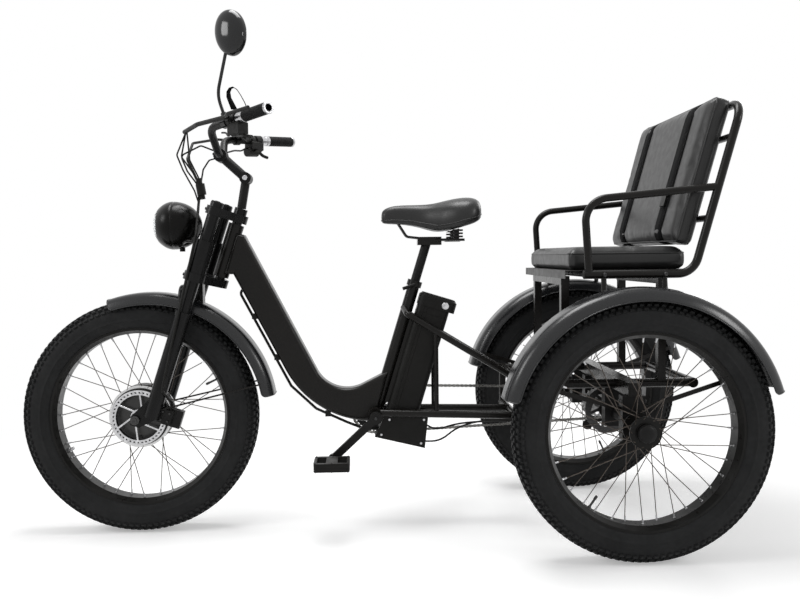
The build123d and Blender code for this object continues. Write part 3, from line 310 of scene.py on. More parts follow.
def make_piece(name, shapes, finish, sharp_deg=35.0):
    # One mesh object at the origin from several shapes, with outward faces.
    verts = []
    faces = []
    for points, loops in shapes:
        first = len(verts)
        verts += [tuple(p) for p in points]
        faces += [tuple(first + i for i in loop) for loop in loops]
    mesh = bpy.data.meshes.new(name)
    mesh.from_pydata(verts, [], faces)
    work = bmesh.new()
    work.from_mesh(mesh)
    bmesh.ops.remove_doubles(work, verts=work.verts, dist=1e-6)
    bmesh.ops.recalc_face_normals(work, faces=work.faces)
    work.to_mesh(mesh)
    work.free()
    mesh.polygons.foreach_set("use_smooth", [True] * len(mesh.polygons))
    mesh.set_sharp_from_angle(angle=math.radians(sharp_deg))
    mesh.materials.append(finish)
    obj = bpy.data.objects.new(name, mesh)
    stage_scene.collection.objects.link(obj)
    return obj


def seat(piece, body, slot, *nodes):
    # Fixes a piece to its body and lets it stand for solids; the slot is not used.
    if nodes:
        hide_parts(*nodes)
    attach(piece, body)


def spot_tree():
    # Sets one piece on points that carry their own turn.
    tree = bpy.data.node_groups.new("pieces_on_spots", "GeometryNodeTree")
    tree.interface.new_socket("Geometry", in_out="INPUT", socket_type="NodeSocketGeometry")
    tree.interface.new_socket("Piece", in_out="INPUT", socket_type="NodeSocketObject")
    tree.interface.new_socket("Size", in_out="INPUT", socket_type="NodeSocketFloat")
    tree.interface.new_socket("Finish", in_out="INPUT", socket_type="NodeSocketMaterial")
    tree.interface.new_socket("Geometry", in_out="OUTPUT", socket_type="NodeSocketGeometry")
    add = tree.nodes.new
    link = tree.links.new
    given = add("NodeGroupInput").outputs
    turn = add("GeometryNodeInputNamedAttribute")
    turn.data_type = "FLOAT_VECTOR"
    turn.inputs["Name"].default_value = "turn"
    to_turn = add("FunctionNodeEulerToRotation")
    link(turn.outputs["Attribute"], to_turn.inputs[0])
    source = add("GeometryNodeObjectInfo")
    link(given["Piece"], source.inputs["Object"])
    points = add("GeometryNodeMeshToPoints")
    link(given["Geometry"], points.inputs["Mesh"])
    copies = add("GeometryNodeInstanceOnPoints")
    link(points.outputs[0], copies.inputs["Points"])
    link(source.outputs["Geometry"], copies.inputs["Instance"])
    link(to_turn.outputs[0], copies.inputs["Rotation"])
    link(given["Size"], copies.inputs["Scale"])
    real = add("GeometryNodeRealizeInstances")
    link(copies.outputs[0], real.inputs[0])
    dressed = add("GeometryNodeSetMaterial")
    link(real.outputs[0], dressed.inputs["Geometry"])
    link(given["Finish"], dressed.inputs["Material"])
    link(dressed.outputs[0], add("NodeGroupOutput").inputs[0])
    return tree


def grown(name, tree, settings, start_mesh=None):
    # Runs a node tree on an object and keeps the result as a plain mesh.
    mesh = start_mesh or bpy.data.meshes.new(name)
    obj = bpy.data.objects.new(name, mesh)
    stage_scene.collection.objects.link(obj)
    modifier = obj.modifiers.new(name, "NODES")
    modifier.node_group = tree
    for item in tree.interface.items_tree:
        if item.name in settings:
            modifier[item.identifier] = settings[item.name]
    graph = bpy.context.evaluated_depsgraph_get()
    result = bpy.data.meshes.new_from_object(obj.evaluated_get(graph))
    obj.modifiers.clear()
    obj.data = result
    bpy.data.meshes.remove(mesh)
    return obj


def put_away(*pieces):
    # Takes pattern pieces out of the scene once their copies are made.
    for obj in pieces:
        mesh = obj.data
        bpy.data.objects.remove(obj)
        bpy.data.meshes.remove(mesh)


on_spots = spot_tree()


def fasten(name, pattern, finish, spots, body, slot, size=1.0, nodes=(), turned=False):
    # Sets copies of a pattern on (spot, direction) pairs and fixes them to a body; millimetres in.
    # A turned spot gives its own three angles in place of a direction.
    mesh = bpy.data.meshes.new(name + "_spots")
    mesh.from_pydata([tuple(Vector(p) / 1000) for p, d in spots], [], [])
    turns = mesh.attributes.new("turn", "FLOAT_VECTOR", "POINT")
    for i, (p, d) in enumerate(spots):
        turns.data[i].vector = Vector(d) if turned else Vector(d).to_track_quat("Z", "Y").to_euler()
    settings = {"Piece": pattern, "Size": size, "Finish": finish}
    seat(grown(name, on_spots, settings, mesh), body, slot, *nodes)


origin = Matrix.Identity(4)
screw_profile = [(0.0, -2.0), (4.2, -2.0), (4.2, 3.0), (3.5, 4.0), (2.2, 4.0), (2.2, 1.8), (0.0, 1.8)]
screw = make_piece("screw_pattern", [lathe(screw_profile, 12, origin)], screw_steel)
axle_x = 686.0
block_half = 31.0
block_screw_z = 404.0
block_screws = []
for y in (-280.0, -112.0, 112.0, 280.0):
    for side in (-1, 1):
        for off in (-9.0, 9.0):
            block_screws.append(((axle_x + side * block_half, y + off, block_screw_z), (side, 0, 0)))
fasten("bearing_block_screws", screw, screw_steel, block_screws, "frame", "dark_alloy")

# Wheel rims and hubs: black anodised alloy, rolled, drilled and lathe-turned.
# Each spoke ends in a plated nipple seated in the rim, and a valve stands between two of them.
# The front rim has a bright balance weight pressed in opposite its valve.
rim_black = mottled(
    "black_anodised_rim",
    tone=(9.0, (0.0060, 0.0058, 0.0052), (0.0110, 0.0106, 0.0098)),
    rough=(70.0, 0.26, 0.38),
    face_on=0.26,
)
coat_nodes(rim_black, "front_rim", "left_rim", "right_rim", "left_hub", "right_hub")
bright = mottled(
    "satin_bright_alloy",
    tone=(90.0, (0.42, 0.42, 0.43), (0.62, 0.62, 0.63)),
    rough=(300.0, 0.22, 0.36),
    metal=1.0,
)
axle_z = 341.0
half_track = 363.0
rim_bed_r = 243.0
spoke_count = 36
front_centre = Vector((-axle_x, 0.0, axle_z))
wheel_centres = [
    ("front", "front_wheel", front_centre, 86.0, 25.0, 25.0),
    ("left", "left_wheel", Vector((axle_x, -half_track, axle_z)), 36.0, 50.0, 235.0),
    ("right", "rear_drive", Vector((axle_x, half_track, axle_z)), 36.0, 50.0, 295.0),
]
nipple_profile = [(0.0, -2.0), (3.1, -2.0), (3.1, 2.5), (2.3, 3.5), (2.2, 13.0), (0.0, 13.0)]
nipple = make_piece("nipple_pattern", [lathe(nipple_profile, 8, origin)], bright)
valve_profile = [
    (0.0, -3.0), (4.4, -3.0), (4.4, 4.0), (3.1, 6.0), (3.1, 26.0), (3.8, 27.0), (3.8, 36.0),
    (2.0, 38.0), (0.0, 38.0),
]
valve = make_piece("valve_pattern", [lathe(valve_profile, 14, origin)], screw_steel)


def inward_from_rim(centre, deg):
    # A spot on the rim bed at an angle, and the way from it to the hub.
    turn = math.radians(deg)
    outward = Vector((math.cos(turn), 0.0, math.sin(turn)))
    return centre + outward * rim_bed_r, -outward


for side, body, centre, flange_r, sweep, valve_deg in wheel_centres:
    holes = []
    for i in range(spoke_count):
        rim_side = 1 if i % 2 == 0 else -1
        lead = 1 if (i // 2) % 2 == 0 else -1
        outer = math.radians(i * 360.0 / spoke_count)
        inner = outer + lead * math.radians(sweep)
        head_y = rim_side * (30.0 + lead * 2.6)
        foot = Vector((rim_bed_r * math.cos(outer), rim_side * 9.0, rim_bed_r * math.sin(outer)))
        head = Vector((flange_r * math.cos(inner), head_y, flange_r * math.sin(inner)))
        holes.append((centre + foot, head - foot))
    fasten(side + "_nipples", nipple, bright, holes, body, "spoke_steel")
    fasten(side + "_valve", valve, screw_steel, [inward_from_rim(centre, valve_deg)], body, "spoke_steel")
weight_profile = [(0.0, -2.0), (7.0, -2.0), (7.0, 5.0), (4.6, 6.5), (4.6, 17.0), (0.0, 17.0)]
rim_weight = make_piece("weight_pattern", [lathe(weight_profile, 16, origin)], bright)
weight_spot = inward_from_rim(front_centre, 205.0)
fasten("front_rim_weight", rim_weight, bright, [weight_spot], "front_wheel", "spoke_steel")
put_away(nipple, valve, rim_weight)

# Spokes, axles, rotors, sprocket and motor shell: drawn wire, ground steel and black-coated alloy.
# The motor's flange is bare; rotor and motor cover are screwed on, and black caps close the rear axle.
spoke_steel = mottled(
    "dark_plated_wire",
    tone=(60.0, (0.045, 0.036, 0.030), (0.095, 0.080, 0.068)),
    rough=(150.0, 0.28, 0.42),
    metal=0.9,
)
coat_nodes(spoke_steel, "front_spokes", "left_spokes", "right_spokes")
ground_steel = mottled(
    "ground_steel",
    tone=(80.0, (0.36, 0.36, 0.36), (0.55, 0.55, 0.55)),
    rough=(400.0, 0.24, 0.40),
    metal=1.0,
)
coat_nodes(ground_steel, "sprocket")
coat_nodes(screw_steel, "rear_rotor", "front_axle")
motor_shell, tree, shader, place = start_finish("motor_shell")
from_axle = tree.nodes.new("ShaderNodeVectorMath")
from_axle.operation = "SUBTRACT"
from_axle.inputs[1].default_value = front_centre / 1000
tree.links.new(place, from_axle.inputs[0])
flat = tree.nodes.new("ShaderNodeVectorMath")
flat.operation = "MULTIPLY"
flat.inputs[1].default_value = (1.0, 0.0, 1.0)
tree.links.new(from_axle.outputs[0], flat.inputs[0])
away = tree.nodes.new("ShaderNodeVectorMath")
away.operation = "LENGTH"
tree.links.new(flat.outputs[0], away.inputs[0])
bare = tree.nodes.new("ShaderNodeMapRange")
bare.inputs["From Min"].default_value = 0.0832
bare.inputs["From Max"].default_value = 0.0842
tree.links.new(away.outputs["Value"], bare.inputs["Value"])
shell_tone = tree.nodes.new("ShaderNodeMix")
shell_tone.data_type = "RGBA"
shell_tone.inputs[6].default_value = (0.008, 0.0076, 0.007, 1.0)
shell_tone.inputs[7].default_value = (0.56, 0.56, 0.56, 1.0)
tree.links.new(bare.outputs["Result"], shell_tone.inputs[0])
tree.links.new(shell_tone.outputs[2], shader.inputs["Base Color"])
tree.links.new(bare.outputs["Result"], shader.inputs["Metallic"])
between(tree, cloudy(tree, place, 120.0), 0.28, 0.40, shader.inputs["Roughness"])
coat_nodes(motor_shell, "hub_motor")


def oblong(place, size):
    # A plain block about a place, with small chamfers; millimetres in.
    x, y, z = [s / 2000 for s in size]
    c = min(size) / 1000 * 0.18
    rings = []
    for level, shrink in ((-z, c), (-z + c, 0.0), (z - c, 0.0), (z, c)):
        corners = ((-1, -1), (1, -1), (1, 1), (-1, 1))
        rings.append([Vector((sx * (x - shrink), sy * (y - shrink), level)) for sx, sy in corners])
    verts = [place @ p for ring in rings for p in ring]
    faces = [(3, 2, 1, 0), (12, 13, 14, 15)]
    for r in (0, 4, 8):
        faces += [(r + k, r + (k + 1) % 4, r + 4 + (k + 1) % 4, r + 4 + k) for k in range(4)]
    return verts, faces


rotor_middle = front_centre + Vector((0.0, -50.0, 0.0))


def rotor_bar(inner_r, inner_deg, outer_r, outer_deg, wide):
    # A flat bar between two points of the front rotor, seen from the side.
    ends = []
    for r, deg in ((inner_r, inner_deg), (outer_r, outer_deg)):
        ends.append(Vector((r * math.cos(math.radians(deg)), 0.0, r * math.sin(math.radians(deg)))))
    run = ends[1] - ends[0]
    middle = rotor_middle + (ends[0] + ends[1]) / 2
    lie = Matrix.Translation(middle / 1000) @ Matrix.Rotation(-math.atan2(run.z, run.x), 4, "Y")
    return oblong(lie, (run.length, 1.8, wide))


rotor_place = facing(rotor_middle, (0, 1, 0))
rotor_shapes = []
for inner_r, outer_r in ((75.0, 80.0), (66.0, 70.5)):
    ring = [(inner_r, -1.0), (outer_r, -1.0), (outer_r, 1.0), (inner_r, 1.0)]
    rotor_shapes.append(lathe(ring, 72, rotor_place, True))
rotor_hub = [(12.0, -1.0), (24.0, -1.0), (24.0, 14.0), (12.0, 14.0)]
rotor_shapes.append(lathe(rotor_hub, 36, rotor_place, True))
for i in range(40):
    rotor_shapes.append(rotor_bar(70.0, 9.0 * i, 75.5, 9.0 * i + 3.0, 6.0))
for i in range(6):
    rotor_shapes.append(rotor_bar(22.0, 60.0 * i + 4.0, 66.6, 60.0 * i + 26.0, 5.0))
slotted_rotor = make_piece("slotted_rotor", rotor_shapes, bright, 40.0)
seat(slotted_rotor, "front_wheel", "bright_steel", "front_rotor")
rotor_screw_r = 18.0
cover_screw_r = 60.0
cover_half = 31.0
rotor_screws = []
cover_screws = []
for i in range(6):
    turn = math.radians(60.0 * i + 30.0)
    round_hub = Vector((math.cos(turn), 0.0, math.sin(turn)))
    rotor_spot = front_centre + round_hub * rotor_screw_r + Vector((0, -51.0, 0))
    rotor_screws.append((rotor_spot, (0, -1, 0)))
    for side in (-1, 1):
        cover_spot = front_centre + round_hub * cover_screw_r + Vector((0, side * cover_half, 0))
        cover_screws.append((cover_spot, (0, side, 0)))
fasten("rotor_screws", screw, screw_steel, rotor_screws, "front_wheel", "bright_steel", 0.7)
fasten("motor_cover_screws", screw, screw_steel, cover_screws, "front_wheel", "dark_alloy", 0.8)
axle_cap_profile = [
    (0.0, 1.5), (23.4, 1.5), (24.0, 3.0), (24.0, 10.0), (22.0, 14.0), (17.0, 16.6), (9.0, 18.2),
    (0.0, 18.8),
]
axle_caps = []
for side in (-1, 1):
    axle_caps.append(lathe(axle_cap_profile, 32, facing((axle_x, side * 399.0, axle_z), (0, side, 0))))
seat(make_piece("axle_caps", axle_caps, cast_black, 50.0), "rear_drive", "dark_alloy")

# Tyres: 24 by 4 inch balloon tyres of carbon-black rubber, moulded with small staggered blocks.
# The carcass is turned; half a slice of tread is set round each side of it, 110 to the turn.
tyre_rubber = mottled(
    "tyre_rubber",
    tone=(14.0, (0.0085, 0.0088, 0.0091), (0.0155, 0.0158, 0.0161)),
    rough=(90.0, 0.56, 0.74),
    grain=(700.0, 3.0, 0.25, 0.0006),
    face_on=0.32,
)
half_tyre = [
    (37.9, 259.7), (41.0, 262.0), (42.6, 266.0), (45.6, 274.0), (47.4, 281.0), (48.6, 282.2),
    (48.9, 284.0), (48.2, 285.4), (48.7, 292.0), (48.2, 301.0), (46.6, 309.5), (43.4, 317.5),
    (38.0, 324.5), (30.0, 329.6), (19.0, 332.6), (8.0, 333.9),
]
tyre_profile = half_tyre + [(-y, r) for y, r in reversed(half_tyre)]
tyre_lathe = [(r, y) for y, r in tyre_profile]
tread_blocks = [
    (7.6, 4.85, 12.0, 11.0, 340.3, 331.0, 2.0),
    (21.4, -4.85, 12.0, 11.0, 338.6, 329.5, 10.0),
    (33.4, 4.85, 12.0, 10.0, 333.6, 323.5, 28.0),
    (41.2, -4.85, 12.0, 7.0, 323.0, 315.6, 58.0),
]
slices_per_turn = 110
slices = []
for sign in (1, -1):
    boxes = []
    for y, along, length, wide, top, low, lean in tread_blocks:
        lean_turn = Matrix.Rotation(math.radians(-sign * lean), 3, "X")
        middle = Vector((along, sign * y, low))
        corners = []
        for share, height in ((1.0, 0.0), (0.94, top - low - 1.2), (0.80, top - low)):
            for cx, cy in ((-1, -1), (1, -1), (1, 1), (-1, 1)):
                corner = lean_turn @ Vector((cx * length / 2 * share, cy * wide / 2 * share, height))
                corners.append((middle + corner) / 1000)
        walls = []
        for r in (0, 4):
            walls += [(r + k, r + (k + 1) % 4, r + 4 + (k + 1) % 4, r + 4 + k) for k in range(4)]
        boxes.append((corners, walls + [(8, 9, 10, 11), (3, 2, 1, 0)]))
    slices.append(make_piece("tread_slice", boxes, tyre_rubber, 20.0))
for side, body, centre, flange_r, sweep, valve_deg in wheel_centres:
    across_wheel = Matrix.Translation(centre / 1000) @ Matrix.Rotation(-math.pi / 2, 4, "X")
    turned_tyre = lathe(tyre_lathe, 144, across_wheel, True)
    carcass = make_piece(side + "_tyre_carcass", [turned_tyre], tyre_rubber, 50.0)
    seat(carcass, body, "tyre_rubber", side + "_tyre")
    for half, shift in ((0, 0.0), (1, 0.5)):
        turns = [2 * math.pi * (i + shift) / slices_per_turn for i in range(slices_per_turn)]
        spots = [(centre, (0.0, math.pi / 2 - t, 0.0)) for t in turns]
        fasten(f"{side}_tread_{half}", slices[half], tyre_rubber, spots, body, "tyre_rubber", turned=True)
put_away(*slices)

# Fenders: pressed sheet steel with a domed section, rounded corners and a rolled wire edge.
# Dark grey metallic paint under a satin clear coat; screws hold the rear pair to their hangers.
fender_paint = mottled(
    "fender_paint",
    tone=(420.0, (0.0060, 0.0062, 0.0070), (0.0130, 0.0135, 0.0148)),
    rough=(30.0, 0.22, 0.29),
    detail=3.0,
    face_on=0.72,
    coat=(0.12, 0.2),
)


def tube(path, radius, sides=10, loop=False):
    # A round bar along points in metres; the radius is in millimetres.
    points = [Vector(p) for p in path]
    count = len(points)
    verts = []
    faces = []
    normal = None
    for i, p in enumerate(points):
        before = points[i - 1] if i or loop else p
        after = points[(i + 1) % count] if i < count - 1 or loop else p
        run = (after - before).normalized()
        if normal is None:
            normal = run.orthogonal().normalized()
        normal = (normal - run * normal.dot(run)).normalized()
        side = run.cross(normal)
        for k in range(sides):
            turn = 2 * math.pi * k / sides
            verts.append(p + (normal * math.cos(turn) + side * math.sin(turn)) * (radius / 1000))
    rings = count if loop else count - 1
    shift = 0
    if loop:
        wanted = verts[0]
        last = [(verts[(count - 1) * sides + k] - wanted).length for k in range(sides)]
        shift = last.index(min(last))
    for i in range(rings):
        j = (i + 1) % count
        move = shift if loop and j == 0 else 0
        for k in range(sides):
            n = (k + 1) % sides
            here = i * sides
            there = j * sides
            faces.append((here + (k + move) % sides, here + (n + move) % sides, there + n, there + k))
    if not loop:
        faces.append(tuple(range(sides)))
        faces.append(tuple((count - 1) * sides + k for k in range(sides)))
    return verts, faces


def fender_shapes(centre, half, outer_r, start_deg, end_deg):
    # One domed sheet and its wire edge; millimetres and degrees in.
    section = [(t / 30.0 * half, outer_r - 34.0 * abs(t / 30.0) ** 5.2) for t in range(31)]
    lengths = [0.0]
    for a, b in zip(section, section[1:]):
        lengths.append(lengths[-1] + math.dist(a, b))
    corner = 14.0
    span = math.radians(end_deg - start_deg) * outer_r
    runs = [0.0, 1.0, 3.0, 6.0, 10.0, corner]
    rows = runs + [corner + (span - 2 * corner) * i / 84 for i in range(1, 84)]
    rows += [span - r for r in reversed(runs)]
    columns = [i / 16.0 - 1.0 for i in range(33)]
    verts = []
    for run in rows:
        turn = math.radians(start_deg) + run / outer_r
        near_end = min(min(run, span - run), corner)
        widest = lengths[-1] - (corner - math.sqrt(corner**2 - (corner - near_end) ** 2))
        for t in columns:
            far = abs(t) * widest
            k = max(i for i in range(30) if lengths[i] <= far)
            share = (far - lengths[k]) / (lengths[k + 1] - lengths[k])
            y = section[k][0] + (section[k + 1][0] - section[k][0]) * share
            r = section[k][1] + (section[k + 1][1] - section[k][1]) * share
            x = centre[0] + r * math.cos(turn)
            z = centre[2] + r * math.sin(turn)
            verts.append(Vector((x, centre[1] + math.copysign(y, t), z)) / 1000)
    width = len(columns)
    last = len(rows) - 1
    faces = []
    for i in range(last):
        for k in range(width - 1):
            a = i * width + k
            faces.append((a, a + width, a + width + 1, a + 1))
    edge = [verts[i * width] for i in range(last)] + [verts[last * width + k] for k in range(width - 1)]
    edge += [verts[i * width + width - 1] for i in range(last, 0, -1)]
    edge += [verts[k] for k in range(width - 1, 0, -1)]
    return (verts, faces), tube(edge, 1.7, 8, True)


def thicken(piece, thickness, offset):
    # Gives a sheet its wall, in metres; an offset of -1 puts all of it inside.
    wall = piece.modifiers.new("wall", "SOLIDIFY")
    wall.thickness = thickness
    wall.offset = offset


def fender(name, centres, half, outer_r, start_deg, end_deg, body, node):
    # The sheets get their thickness inwards; the wire edges ride with them.
    sheets = []
    edges = []
    for centre in centres:
        sheet, edge = fender_shapes(centre, half, outer_r, start_deg, end_deg)
        sheets.append(sheet)
        edges.append(edge)
    shell = make_piece(name + "_shell", sheets, fender_paint, 60.0)
    thicken(shell, 0.0024, -1.0)
    seat(shell, body, "fender_paint", node)
    seat(make_piece(name + "_wire_edge", edges, fender_paint, 60.0), body, "fender_paint")


rear_centres = [(axle_x, -half_track, axle_z), (axle_x, half_track, axle_z)]
fender("rear_fender", rear_centres, 59.0, 373.0, 16.2, 165.8, "frame", "rear_fenders")
fender("front_fender", [(-653.0, 0.0, axle_z)], 55.0, 362.0, 9.2, 109.3, "steering", "front_fender")
hanger_xs = (595.0, 755.0)
fender_screws = []
for side in (-1, 1):
    for x in hanger_xs:
        rise = math.sqrt(372.0**2 - (x - axle_x) ** 2)
        fender_screws.append(((x, side * 345.0, axle_z + rise), (x - axle_x, 0.0, rise)))
fasten("fender_screws", screw, screw_steel, fender_screws, "frame", "dark_alloy", 0.9)

# Chain: half-inch roller chain, oiled steel, each link two waisted plates on pins and rollers.
# The pins run round the 36-tooth chainring and the 24-tooth sprocket, 138 links in all.
chain_y = 69.0
crank_z = 333.0
pitch = 12.7
run_links = 54


def half_round(teeth, first_deg, x, z):
    # The chain pins round one half of a toothed wheel.
    pitch_r = pitch / (2 * math.sin(math.pi / teeth))
    turns = [math.radians(first_deg + 360 // teeth * i) for i in range(teeth // 2 + 1)]
    return [Vector((x + pitch_r * math.cos(t), chain_y, z + pitch_r * math.sin(t))) for t in turns]


ring_pins = half_round(36, 90, 0.0, crank_z)
cog_pins = half_round(24, 270, axle_x, axle_z)
lower_run = [ring_pins[-1].lerp(cog_pins[0], i / run_links) for i in range(1, run_links)]
upper_run = [cog_pins[-1].lerp(ring_pins[0], i / run_links) for i in range(1, run_links)]
pins = ring_pins + lower_run + cog_pins + upper_run
chain_steel = mottled(
    "oiled_chain_steel",
    tone=(240.0, (0.10, 0.098, 0.092), (0.26, 0.255, 0.245)),
    rough=(300.0, 0.22, 0.42),
    metal=1.0,
)


def link_piece(name, plate_in, plate_out, barrel_r, barrel_half):
    # Two waisted plates and two barrels, one link long, centred on the origin.
    outline = []
    for cx, first, last in ((pitch / 2, -100, 100), (-pitch / 2, 80, 280)):
        for i in range(5):
            turn = math.radians(first + (last - first) * i / 4)
            outline.append((cx + 4.1 * math.cos(turn), 4.0 * math.sin(turn)))
    outline.insert(5, (0.0, 2.9))
    outline.append((0.0, -2.9))
    shapes = []
    count = len(outline)
    for side in (-1, 1):
        plate = [Vector((x, side * off, z)) / 1000 for off in (plate_in, plate_out) for x, z in outline]
        walls = [(i, (i + 1) % count, count + (i + 1) % count, count + i) for i in range(count)]
        shapes.append((plate, walls + [tuple(range(count)), tuple(range(count, 2 * count))]))
    barrel = [(0.0, -barrel_half), (barrel_r, -barrel_half), (barrel_r, barrel_half), (0.0, barrel_half)]
    for x in (pitch / 2, -pitch / 2):
        shapes.append(lathe(barrel, 8, facing((x, 0, 0), (0, 1, 0))))
    return make_piece(name, shapes, chain_steel, 30.0)


wide_link = link_piece("wide_link", 3.1, 4.1, 1.9, 4.2)
narrow_link = link_piece("narrow_link", 1.9, 2.8, 3.6, 1.9)
link_spots = []
for i in range(len(pins)):
    step = pins[(i + 1) % len(pins)] - pins[i]
    link_spots.append((pins[i] + step / 2, (0.0, -math.atan2(step.z, step.x), 0.0)))
for name, link, first, nodes in (
    ("chain_wide_links", wide_link, 0, ("chain",)),
    ("chain_narrow_links", narrow_link, 1, ()),
):
    fasten(name, link, chain_steel, link_spots[first::2], "frame", "bright_steel", nodes=nodes, turned=True)
put_away(wide_link, narrow_link)

# Cranks and pedals: forged black arms bolted to the spindle, and moulded pedals with steel pins.
# Five bolts hold the chainring to its spider.
moulded = mottled(
    "textured_moulding",
    tone=(11.0, (0.0052, 0.0050, 0.0044), (0.0092, 0.0088, 0.0080)),
    rough=(60.0, 0.42, 0.58),
    grain=(1300.0, 2.0, 0.3, 0.0003),
    face_on=0.30,
)
coat_nodes(moulded, "left_pedal", "right_pedal")
ring_bolts = []
for i in range(5):
    turn = math.radians(222.6 + 36.0 + 72.0 * i)
    spot = (52.0 * math.cos(turn), chain_y + 1.5, crank_z + 52.0 * math.sin(turn))
    ring_bolts.append((spot, (0, 1, 0)))
for side in (-1, 1):
    ring_bolts.append(((0.0, side * 92.0, crank_z), (0, side, 0)))
fasten("crank_bolts", screw, screw_steel, ring_bolts, "crank", "dark_alloy", 1.1)
pedal_centres = [
    ("left_pedal", Vector((-125.1, -152.0, 217.9))),
    ("right_pedal", Vector((125.1, 152.0, 448.1))),
]
for name, middle in pedal_centres:
    pins_here = []
    for up in (-1, 1):
        for along in (-45.0, 0.0, 45.0):
            for wide in (-38.0, 38.0):
                pins_here.append((middle + Vector((along, wide, up * 12.0)), (0, 0, up)))
    fasten(name + "_pins", screw, screw_steel, pins_here, name + "_body", "bright_steel", 0.55)

# Battery on its dock, and the controller under it: moulded black cases with a fine eroded skin.
# The battery has a key lock and a lid seam; four screws a side close the controller.
coat_nodes(moulded, "battery", "controller", "frame_lead")
case_screws = []
for x, z in ((40.0, 318.0), (142.0, 316.0), (133.0, 246.0), (16.0, 274.0)):
    for side in (-1, 1):
        case_screws.append(((x, side * 32.0, z), (0, side, 0)))
fasten("controller_screws", screw, bright, case_screws, "frame", "dark_alloy", 0.9)
seat_frame = Matrix.Translation((0.0, 0.0, 0.333)) @ Matrix.Rotation(math.radians(17.3), 4, "Y")
lock_at = seat_frame @ Vector((0.104, -0.038, 0.366))
lock_profile = [
    (0.0, -2.0), (10.5, -2.0), (10.5, 1.6), (9.5, 2.6), (6.5, 2.6), (6.2, 1.2), (1.8, 1.2), (0.0, 0.4),
]
lock = make_piece("battery_lock", [lathe(lock_profile, 28, facing(lock_at * 1000, (0, -1, 0)))], bright)
seat(lock, "frame", "alloy")


def rounded_loop(half_x, half_y, corner, level, place):
    # A rounded oblong of points at one height of a place; millimetres in.
    loop = []
    for sx, sy, first in ((1, 1, 0), (-1, 1, 90), (-1, -1, 180), (1, -1, 270)):
        for i in range(7):
            turn = math.radians(first + 15 * i)
            x = sx * (half_x - corner) + corner * math.cos(turn)
            y = sy * (half_y - corner) + corner * math.sin(turn)
            loop.append(place @ (Vector((x, y, level)) / 1000))
    return loop


battery_middle = seat_frame @ Matrix.Translation((0.074, 0.0, 0.0))
seams = []
for level in (46.0, 330.0):
    seams.append(tube(rounded_loop(47.7, 34.2, 14.0, level, battery_middle), 1.1, 6, True))
for side in (-34.0, 34.0):
    for x in (44.0, 54.0):
        seams.append(tube([seat_frame @ (Vector((x, side, z)) / 1000) for z in (24.0, 346.0)], 1.2, 8))
seat(make_piece("battery_seams", seams, moulded, 60.0), "frame", "matte_plastic")

# Two jacketed leads leave the controller and lie along the left chain stay to the rear frame.
# Each is swept along its route; they lie against the stay, fixed to the frame.
lead_paths = [
    [
        (138.0, -24.0, 250.0), (190.0, -34.0, 252.0), (236.0, -56.0, 296.0), (300.0, -74.0, 318.0),
        (400.0, -78.0, 322.0),
    ],
    [
        (146.0, -20.0, 300.0), (178.0, -40.0, 286.0), (232.0, -62.0, 308.0), (296.0, -70.0, 315.0),
        (400.0, -74.0, 317.0),
    ],
]


def rounded(path, bend, steps=8):
    # A path in millimetres with its inner corners rounded, in metres.
    points = [Vector(p) for p in path]
    smooth_path = [points[0]]
    for before, corner, after in zip(points, points[1:], points[2:]):
        cut_in = min(bend, (corner - before).length * 0.49)
        cut_out = min(bend, (after - corner).length * 0.49)
        enter = corner + (before - corner).normalized() * cut_in
        leave = corner + (after - corner).normalized() * cut_out
        for i in range(steps + 1):
            t = i / steps
            smooth_path.append(enter * (1 - t) ** 2 + corner * (2 * t * (1 - t)) + leave * t**2)
    smooth_path.append(points[-1])
    return [p / 1000 for p in smooth_path]


leads = [tube(rounded(path, 40.0), 2.6, 8) for path in lead_paths]
seat(make_piece("controller_leads", leads, moulded, 60.0), "frame", "matte_plastic")

# Rider's saddle: sprung comfort saddle, foam under stretched black vinyl, sewn round the rim.
# Sections are skinned and smoothed; a welt follows the lower edge, and coil springs stand below.
vinyl, tree, shader, place = start_finish("grained_black_vinyl")
vinyl_dark, vinyl_pale = (0.0080, 0.0080, 0.0080), (0.0140, 0.0139, 0.0138)
two_tone(tree, cloudy(tree, place, 8.0), vinyl_dark, vinyl_pale, shader.inputs["Base Color"])
between(tree, cloudy(tree, place, 50.0), 0.32, 0.42, shader.inputs["Roughness"])
pores = tree.nodes.new("ShaderNodeTexVoronoi")
pores.inputs["Scale"].default_value = 520.0
tree.links.new(place, pores.inputs["Vector"])
raised(tree, pores.outputs["Distance"], 0.13, 0.0005, shader)
gloss(shader, 0.75)
saddle_stations = [
    (24, 17, 898, 928), (34, 25, 894, 939), (60, 29, 893, 948), (104, 34, 890, 949),
    (150, 49, 879, 949), (184, 76, 868, 953), (222, 106, 871, 963), (262, 122, 881, 969),
    (295, 113, 891, 968), (316, 82, 908, 952),
]
saddle_arc = [
    (0.0, 0.06), (0.55, 0.03), (0.90, 0.0), (1.0, 0.20), (0.99, 0.50), (0.90, 0.78), (0.64, 0.95),
    (0.30, 1.0), (0.0, 0.99),
]
saddle_ring = saddle_arc + [(-y, z) for y, z in reversed(saddle_arc[1:-1])]
saddle_verts = []
saddle_faces = []
for x, half, low, high in saddle_stations:
    for y, z in saddle_ring:
        saddle_verts.append((x / 1000, y * half / 1000, (low + z * (high - low)) / 1000))
count = len(saddle_ring)
for i in range(len(saddle_stations) - 1):
    for k in range(count):
        n = (k + 1) % count
        saddle_faces.append((i * count + k, i * count + n, (i + 1) * count + n, (i + 1) * count + k))
saddle_faces.append(tuple(range(count)))
saddle_faces.append(tuple(len(saddle_verts) - count + k for k in range(count)))
saddle = make_piece("padded_saddle", [(saddle_verts, saddle_faces)], vinyl, 180.0)
smooth = saddle.modifiers.new("foam", "SUBSURF")
smooth.levels = 2
smooth.render_levels = 2
seat(saddle, "frame", "black_vinyl", "saddle")
